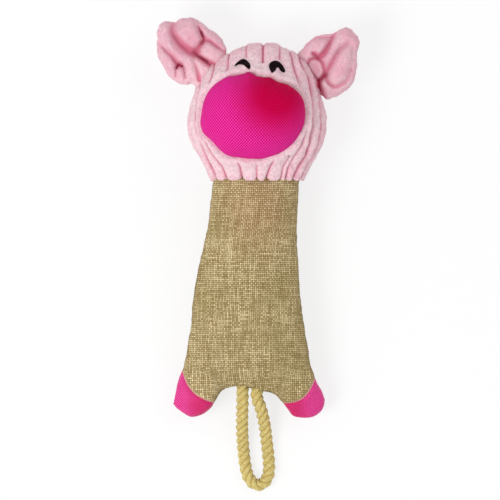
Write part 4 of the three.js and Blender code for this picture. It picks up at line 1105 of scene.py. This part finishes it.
ears = {
    "rings": 60, "columns": 360, "z": 42.0, "front": 13.0, "back": 6.5, "reach": 12.0, "backPitch": 11.0,
    "deeper": 0.27, "backGroove": 1.8, "backRound": 5,
    "left": {
        "centre": (-57.0, 133.0), "hinge": (-44.87, 125.52), "out": (-0.7606, 0.6492),
        "outline": [
            (-27.5, 129.5), (-25.9, 136.4), (-27.9, 141.3), (-32.3, 147.6), (-39.7, 152.4), (-46.6, 158.4),
            (-54.7, 161.6), (-62.8, 161.2), (-66.6, 158.4), (-69.3, 158.4), (-74.9, 159.1), (-80.2, 156.5),
            (-82.0, 151.6), (-82.2, 145.2), (-82.4, 137.1), (-81.2, 130.2), (-76.5, 120.4), (-71.7, 113.4),
            (-65.2, 108.3), (-58.7, 107.4), (-53.9, 108.0), (-49.2, 104.7), (-44.0, 105.5), (-37.0, 114.0),
            (-31.0, 122.0)],
        # sewn and folded lines: points, depth share, reach of the swelling beside it, half width, darkness
        # of the painted shade in it at its start and at its end
        "lines": [
            ([(-67.1, 159.5), (-68.6, 156.0), (-69.4, 152.0), (-68.4, 147.6), (-65.6, 143.4), (-61.6, 138.8),
              (-55.9, 134.8), (-51.0, 133.4)], 0.75, 8.5, 1.2, 0.4, 0.95),
            ([(-81.5, 142.4), (-78.8, 138.8), (-73.9, 133.9), (-69.8, 129.8), (-66.5, 125.2), (-63.6, 123.2)],
             0.6, 6.0, 0.5, 0.2, 0.8),
            ([(-48.4, 153.6), (-47.2, 150.6), (-45.2, 146.9), (-43.8, 143.7), (-46.8, 139.6), (-49.3, 135.9),
              (-51.0, 133.4)], 0.7, 5.0, 0.6, 0.4, 0.9),
            ([(-43.8, 143.2), (-40.3, 142.9), (-36.8, 140.4), (-31.5, 136.4), (-27.0, 133.4)],
             0.5, 4.5, 0.4, 0.8, 0.5),
            ([(-51.0, 132.8), (-49.6, 131.2), (-45.2, 128.1), (-39.0, 124.0), (-34.0, 121.0)],
             0.7, 5.0, 1.2, 0.8, 1.0),
            ([(-66.9, 114.0), (-66.7, 119.1), (-66.2, 121.6), (-63.3, 123.2), (-60.8, 121.6), (-59.9, 118.3),
              (-59.0, 113.0)], 0.45, 3.6, 0.4, 0.4, 0.4),
            ([(-52.4, 130.4), (-51.8, 125.0), (-49.6, 119.0), (-47.8, 111.0)], 0.35, 5.0, 0.5, 0.1, 0.85)],
        # the deepest places, pinched in: points, size, darkness of the painted shade there
        "pits": [([(-66.4, 120.9), (-64.6, 123.6), (-61.8, 122.4)], 1.1, 1.6),
                 ([(-51.7, 133.9), (-51.0, 133.0), (-50.2, 132.0)], 0.9, 1.2),
                 ([(-46.6, 150.0), (-45.2, 146.6), (-44.2, 144.2), (-45.6, 141.4)], 1.3, 1.15),
                 ([(-50.4, 132.0), (-46.0, 128.6), (-42.0, 126.0)], 1.0, 1.15)],
    },
    "right": {
        "centre": (63.0, 124.0), "hinge": (47.77, 119.53), "out": (0.8356, 0.5494),
        "outline": [
            (33.0, 122.0), (30.5, 130.0), (36.0, 137.1), (43.3, 144.3), (49.8, 147.8), (59.2, 148.4),
            (62.5, 150.0), (67.5, 152.6), (71.7, 153.8), (75.7, 151.2), (80.6, 146.0), (81.8, 140.3),
            (80.2, 134.0), (79.4, 128.5), (80.0, 121.7), (77.1, 109.8), (68.9, 101.0), (59.5, 96.3),
            (55.5, 95.6), (51.4, 98.4), (45.0, 99.0), (40.0, 106.0), (36.0, 114.0)],
        "lines": [
            ([(39.0, 139.2), (42.4, 142.6), (46.5, 144.9), (53.0, 145.7), (59.4, 145.6), (62.0, 149.0)],
             0.4, 3.6, 0.4, 0.4, 0.6),
            ([(61.0, 146.6), (58.4, 142.0), (55.6, 136.6), (52.4, 132.0), (48.4, 129.2)],
             0.75, 4.6, 0.9, 0.5, 1.0),
            ([(72.4, 140.4), (69.6, 138.4), (65.4, 134.6), (62.0, 129.6), (58.8, 123.6), (55.5, 118.4),
              (54.4, 114.6)], 0.55, 4.8, 0.5, 0.2, 0.8),
            ([(38.0, 120.6), (39.9, 124.8), (42.4, 127.8), (47.5, 129.0), (51.6, 125.2), (53.2, 119.9),
              (53.9, 115.6)], 0.55, 3.4, 0.5, 0.75, 0.8),
            ([(39.6, 119.6), (41.6, 116.2), (45.7, 111.9), (48.9, 110.6), (53.0, 114.6)],
             0.65, 3.8, 0.9, 1.0, 0.9),
            ([(54.2, 115.0), (55.0, 111.4), (57.6, 107.8), (62.0, 105.6), (67.8, 107.8), (72.7, 112.5),
              (75.2, 119.1)], 0.45, 5.0, 0.6, 0.75, 0.3),
            ([(48.9, 110.6), (49.0, 106.8), (50.8, 101.0), (52.6, 95.0)], 0.7, 5.0, 1.0, 1.2, 0.7),
            ([(74.6, 143.0), (76.4, 138.8), (76.2, 128.1), (75.2, 119.1)], 0.2, 4.0, 0.4, 0.15, 0.2)],
        "pits": [([(44.6, 132.4), (46.0, 131.6), (47.6, 129.8)], 1.9, 1.2),
                 # the block in the middle is a deeper pink all over
                 ([(44.6, 122.6), (46.6, 118.0)], 6.0, 0.42),
                 ([(37.6, 122.4), (39.6, 120.4), (41.6, 116.6), (44.6, 113.4)], 1.5, 1.75),
                 ([(54.6, 115.4), (51.6, 112.6), (47.6, 110.6), (44.0, 112.8)], 1.2, 1.45),
                 ([(48.6, 111.0), (49.0, 107.0), (49.6, 102.6)], 1.6, 1.8)],
    },
}


def makeEar(side):
    ear = ears[side]
    centre = np.array(ear["centre"])
    line = smoothLine(ear["outline"], 900, closed=True)
    turns = np.arctan2(line[:, 1] - centre[1], line[:, 0] - centre[0])
    radii = np.linalg.norm(line - centre, axis=1)
    order = np.argsort(turns)
    columns, count = ears["columns"], ears["rings"]
    around = 2 * np.pi * np.arange(columns) / columns
    edge = np.interp(around, turns[order], radii[order], period=2 * np.pi)
    rim = ringAt(edge, around, 0)
    edge = edge + 0.5 * softNoise(rim, 4, 49) + 0.3 * softNoise(rim, 1.6, 51)
    shares = np.sin(np.pi / 2 * np.arange(1, count + 1) / count)
    x = centre[0] + shares[:, None] * edge[None] * np.cos(around)[None]
    y = centre[1] + shares[:, None] * edge[None] * np.sin(around)[None]
    x, y = x.ravel(), y.ravel()
    closed = centre + ringAt(edge, around, 0)[:, :2]
    fromEdge = distanceTo(np.vstack([closed, closed[:1]]), x, y)
    fromEdge[-columns:] = 0
    flat = np.stack([x, y, np.zeros(len(x))], axis=1)
    swell = rounded(fromEdge, ears["reach"])
    front = ears["front"] * swell * (1 + 0.14 * softNoise(flat, 13, 41))
    # the ears are a deeper pink than the head all over
    creaseShade = ears["deeper"] + 0.09 * softNoise(flat, 9, 53)
    for points, deep, reach, half, darkStart, darkEnd in ear["lines"]:
        fold = smoothLine(points, 40)
        steps = (x[:, None] - fold[:, 0]) ** 2 + (y[:, None] - fold[:, 1]) ** 2
        along = np.argmin(steps, axis=1) / 39
        away = np.maximum(distanceTo(fold, x, y) - half * (0.5 + 0.5 * along), 0)
        valley = 1 - 0.6 * rounded(away, reach) - 0.4 * smoothStep(away, -0.6, 0.8 * reach)
        front *= 1 - 0.85 * deep * valley
        # painted shade down in each line
        dark = darkStart + (darkEnd - darkStart) * along
        creaseShade = np.maximum(creaseShade, dark * closeTo(away, 0.42 * reach))
    for points, size, dark in ear["pits"]:
        near = closeTo(distanceTo(smoothLine(points, 12), x, y), size)
        front *= 1 - 0.5 * near
        creaseShade = np.maximum(creaseShade, dark * near)
    pile = 0.4 * softNoise(flat, 4.5, 43) + 0.26 * softNoise(flat, 1.8, 45)
    front += pile * smoothStep(fromEdge, 0, 3)
    ribs = np.abs(((x * ear["out"][1] - y * ear["out"][0]) / ears["backPitch"]) % 1 - 0.5) * ears["backPitch"]
    back = ears["back"] * swell - ears["backGroove"] * (1 - rounded(ribs, ears["backRound"])) * swell
    back += (pile + 0.5 * softNoise(flat, 12, 47)) * smoothStep(fromEdge, 0, 3)
    z = ears["z"]
    top = np.stack([x, y, z + front], axis=1)
    under = np.stack([x, y, z - back], axis=1)[:-columns]
    peaks = np.array([[centre[0], centre[1], z + front[:columns].mean()],
                      [centre[0], centre[1], z - back[:columns].mean()]])
    points = np.concatenate([top, under, peaks])
    # painted shade in the lines between the ribs on the back
    underCreaseShade = 0.8 * closeTo(ribs, 1.2)
    middles = [creaseShade[:columns].mean(), underCreaseShade[:columns].mean()]
    creaseShades = np.concatenate([creaseShade, underCreaseShade[:-columns], middles])
    # both layers share the points of the outermost ring
    layers = np.arange(2 * count * columns).reshape(2, count, columns)
    layers[1, -1] = layers[0, -1]
    upper, lower = layers.tolist()
    faces = []
    for j in range(count - 1):
        for k in range(columns):
            after = (k + 1) % columns
            faces.append((upper[j][k], upper[j + 1][k], upper[j + 1][after], upper[j][after]))
            faces.append((lower[j][after], lower[j + 1][after], lower[j + 1][k], lower[j][k]))
    topPeak, underPeak = len(points) - 2, len(points) - 1
    for k in range(columns):
        after = (k + 1) % columns
        faces.append((topPeak, upper[0][k], upper[0][after]))
        faces.append((underPeak, lower[0][after], lower[0][k]))
    name = f"ear{side.capitalize()}"
    piece = newPiece(name, points, faces)
    setAttribute(piece, "creaseShade", creaseShades)
    soften = piece.modifiers.new("soften", "SMOOTH")
    soften.use_x, soften.use_y = False, False
    soften.factor, soften.iterations = 0.5, 5
    applyModifiers(piece)
    piece.data.materials.append(plush)
    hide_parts(f"ear_{side}_front_panel", f"ear_{side}_back_panel", f"ear_{side}_tack_thread")
    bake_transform(piece)
    print(name, "folded")


makeEar("left")
makeEar("right")

eyes = {
    "proud": 0.55, "swell": 0.75, "long": 40, "wide": 10, "walls": 2.4,
    # each eye is an arch of stitches between an upper and a lower edge
    "left": [
        [(-19.6, 121.6), (-18.2, 124.0), (-15.0, 126.7), (-12.3, 127.7), (-9.6, 126.5), (-7.4, 124.1),
         (-6.5, 121.8), (-7.2, 118.9)],
        [(-19.6, 121.6), (-18.2, 122.1), (-16.6, 122.8), (-14.2, 123.2), (-11.9, 122.4), (-10.0, 120.8),
         (-8.4, 119.3), (-7.2, 118.9)]],
    "right": [
        [(10.6, 115.8), (9.3, 118.5), (8.4, 121.4), (9.0, 124.0), (11.0, 125.6), (13.8, 126.2), (16.6, 125.4),
         (18.7, 123.3), (20.4, 120.8), (21.6, 117.9), (20.9, 116.6)],
        [(10.6, 115.8), (12.0, 116.8), (13.7, 118.2), (14.3, 119.6), (15.4, 120.7), (16.7, 119.8),
         (17.7, 118.0), (19.3, 116.8), (20.9, 116.6)]],
    # deep is painted shade between the stitch threads
    "base": paint(22, 5, 12), "deep": paint(8, 1, 4), "pitch": 0.5, "turn": 25,
}


def headTop(x, y):
    hit, place, _, _ = headPiece.ray_cast(Vector((x * mm, y * mm, 0.2)), Vector((0, 0, -1)))
    return place.z / mm if hit else head["z"]


def makeEye(side, material):
    long, wide = eyes["long"], eyes["wide"]
    upper, lower = (smoothLine(line, long + 1) for line in eyes[side])
    deselectAll()
    bpy.ops.mesh.primitive_grid_add(x_subdivisions=long, y_subdivisions=wide, size=2, location=(0, 0, 0))
    piece = bpy.context.object
    piece.name = f"eye{side.capitalize()}"
    shares = (meshPoints(piece)[:, :2] * mm + 1) / 2
    below, above = pointsAlong(lower, shares[:, 0]), pointsAlong(upper, shares[:, 0])
    flat = below + (above - below) * shares[:, 1:]
    border = (np.minimum(shares, 1 - shares) * (20, 4)).min(axis=1)
    near = [(0, 0), (0.9, 0), (-0.9, 0), (0, 0.9), (0, -0.9)]
    under = np.array([np.mean([headTop(x + dx, y + dy) for dx, dy in near]) for x, y in flat])
    points = np.column_stack([flat, under + eyes["proud"] + eyes["swell"] * rounded(border, 1)])
    setPoints(piece, points)
    # the walls of the stitches go down into the plush
    bpy.ops.object.mode_set(mode="EDIT")
    bpy.ops.mesh.select_all(action="SELECT")
    bpy.ops.mesh.extrude_region_move(TRANSFORM_OT_translate={"value": (0, 0, -eyes["walls"] * mm)})
    bpy.ops.mesh.select_all(action="SELECT")
    bpy.ops.mesh.remove_doubles(threshold=0.00002)
    bpy.ops.mesh.normals_make_consistent(inside=False)
    bpy.ops.object.mode_set(mode="OBJECT")
    selectOnly(piece)
    bpy.ops.object.shade_smooth_by_angle(angle=math.radians(50))
    piece.data.materials.append(material)
    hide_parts(f"eye_{side}")
    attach(piece, "torso")
    print(piece.name, "stitched")


eyeThread = stitchMaterial(eyes)
makeEye("left", eyeThread)
makeEye("right", eyeThread)

insides = {
    "stuffing": filling,
    "thread": hiddenMaterial(
        "sewingThread", paint(236, 226, 210), paint(214, 200, 184), 1800.0, 0.8, 0.0002),
    "squeaker": hiddenMaterial(
        "squeakerVinyl", paint(244, 244, 238), paint(232, 232, 226), 500.0, 0.35, 0.0001),
    "reed": hiddenMaterial(
        "reedPlastic", paint(216, 216, 208), paint(204, 204, 198), 700.0, 0.3, 0.0001),
}
for nodeName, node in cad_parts.items():
    if node.hide_render:
        continue
    kind = "reed" if nodeName == "squeaker_reed" else next(
        (key for key in ("stuffing", "thread", "squeaker") if key in nodeName), "squeaker")
    for slot in node.material_slots:
        slot.material = insides[kind]
    print("inside:", nodeName, kind)

studio = {
    "ambient": 0.66, "key": 16.4, "keyPlace": (-0.9, -0.5, 1.5), "keySize": 0.9,
    "fill": 5.0, "fillPlace": (1.0, 0.9, 1.4), "fillSize": 1.4, "aim": (0, 0.02, 0.03),
    "floorWhite": 0.75, "floorPaint": (0.9, 0.9, 0.9, 1), "floorDrop": 0.0002,
}


def addLamp(name, place, power, size):
    data = bpy.data.lights.new(name, "AREA")
    data.energy = power
    data.shape = "DISK"
    data.size = size
    lamp = linked(name, data)
    lamp.location = place
    lamp.rotation_euler = (Vector(studio["aim"]) - Vector(place)).to_track_quat("-Z", "Y").to_euler()


def seenDirectly(tree):
    # 1 for what the camera sees, also by reflection or through something, and 0 for light on the toy
    rays = addNode(tree, "ShaderNodeLightPath").outputs
    indirect = maths(tree, "MAXIMUM", rays["Is Glossy Ray"], rays["Is Transmission Ray"])
    return maths(tree, "MAXIMUM", rays["Is Camera Ray"], indirect)


def makeStudio():
    addLamp("softbox", studio["keyPlace"], studio["key"], studio["keySize"])
    addLamp("fill", studio["fillPlace"], studio["fill"], studio["fillSize"])
    deselectAll()
    bpy.ops.mesh.primitive_plane_add(size=8, location=(0, 0, -studio["floorDrop"]))
    floor = bpy.context.object
    floor.name = "floor"
    placeMesh(floor)
    material, tree = newMaterial("floorPaper", {
        "Roughness": 0.9, "Specular IOR Level": 0.1, "Base Color": studio["floorPaint"]})
    shader = tree.nodes["Principled BSDF"]
    output = next(node for node in tree.nodes if node.type == "OUTPUT_MATERIAL")
    glow = addNode(tree, "ShaderNodeEmission", {"Color": (1, 1, 1, 1), "Strength": 1.0})
    share = maths(tree, "MULTIPLY", seenDirectly(tree), studio["floorWhite"])
    mixed = addNode(tree, "ShaderNodeMixShader", {0: share, 1: shader.outputs[0], 2: glow.outputs[0]})
    tree.links.new(mixed.outputs[0], output.inputs["Surface"])
    floor.data.materials.append(material)
    world = bpy.data.worlds.new("studio")
    bpy.context.scene.world = world
    world.use_nodes = True
    tree = world.node_tree
    strength = addNode(tree, "ShaderNodeMapRange",
                       {"Value": seenDirectly(tree), "To Min": studio["ambient"], "To Max": 1.0})
    background = tree.nodes["Background"]
    background.inputs["Color"].default_value = (1, 1, 1, 1)
    tree.links.new(strength.outputs[0], background.inputs["Strength"])
    print("studio lit")


makeStudio()
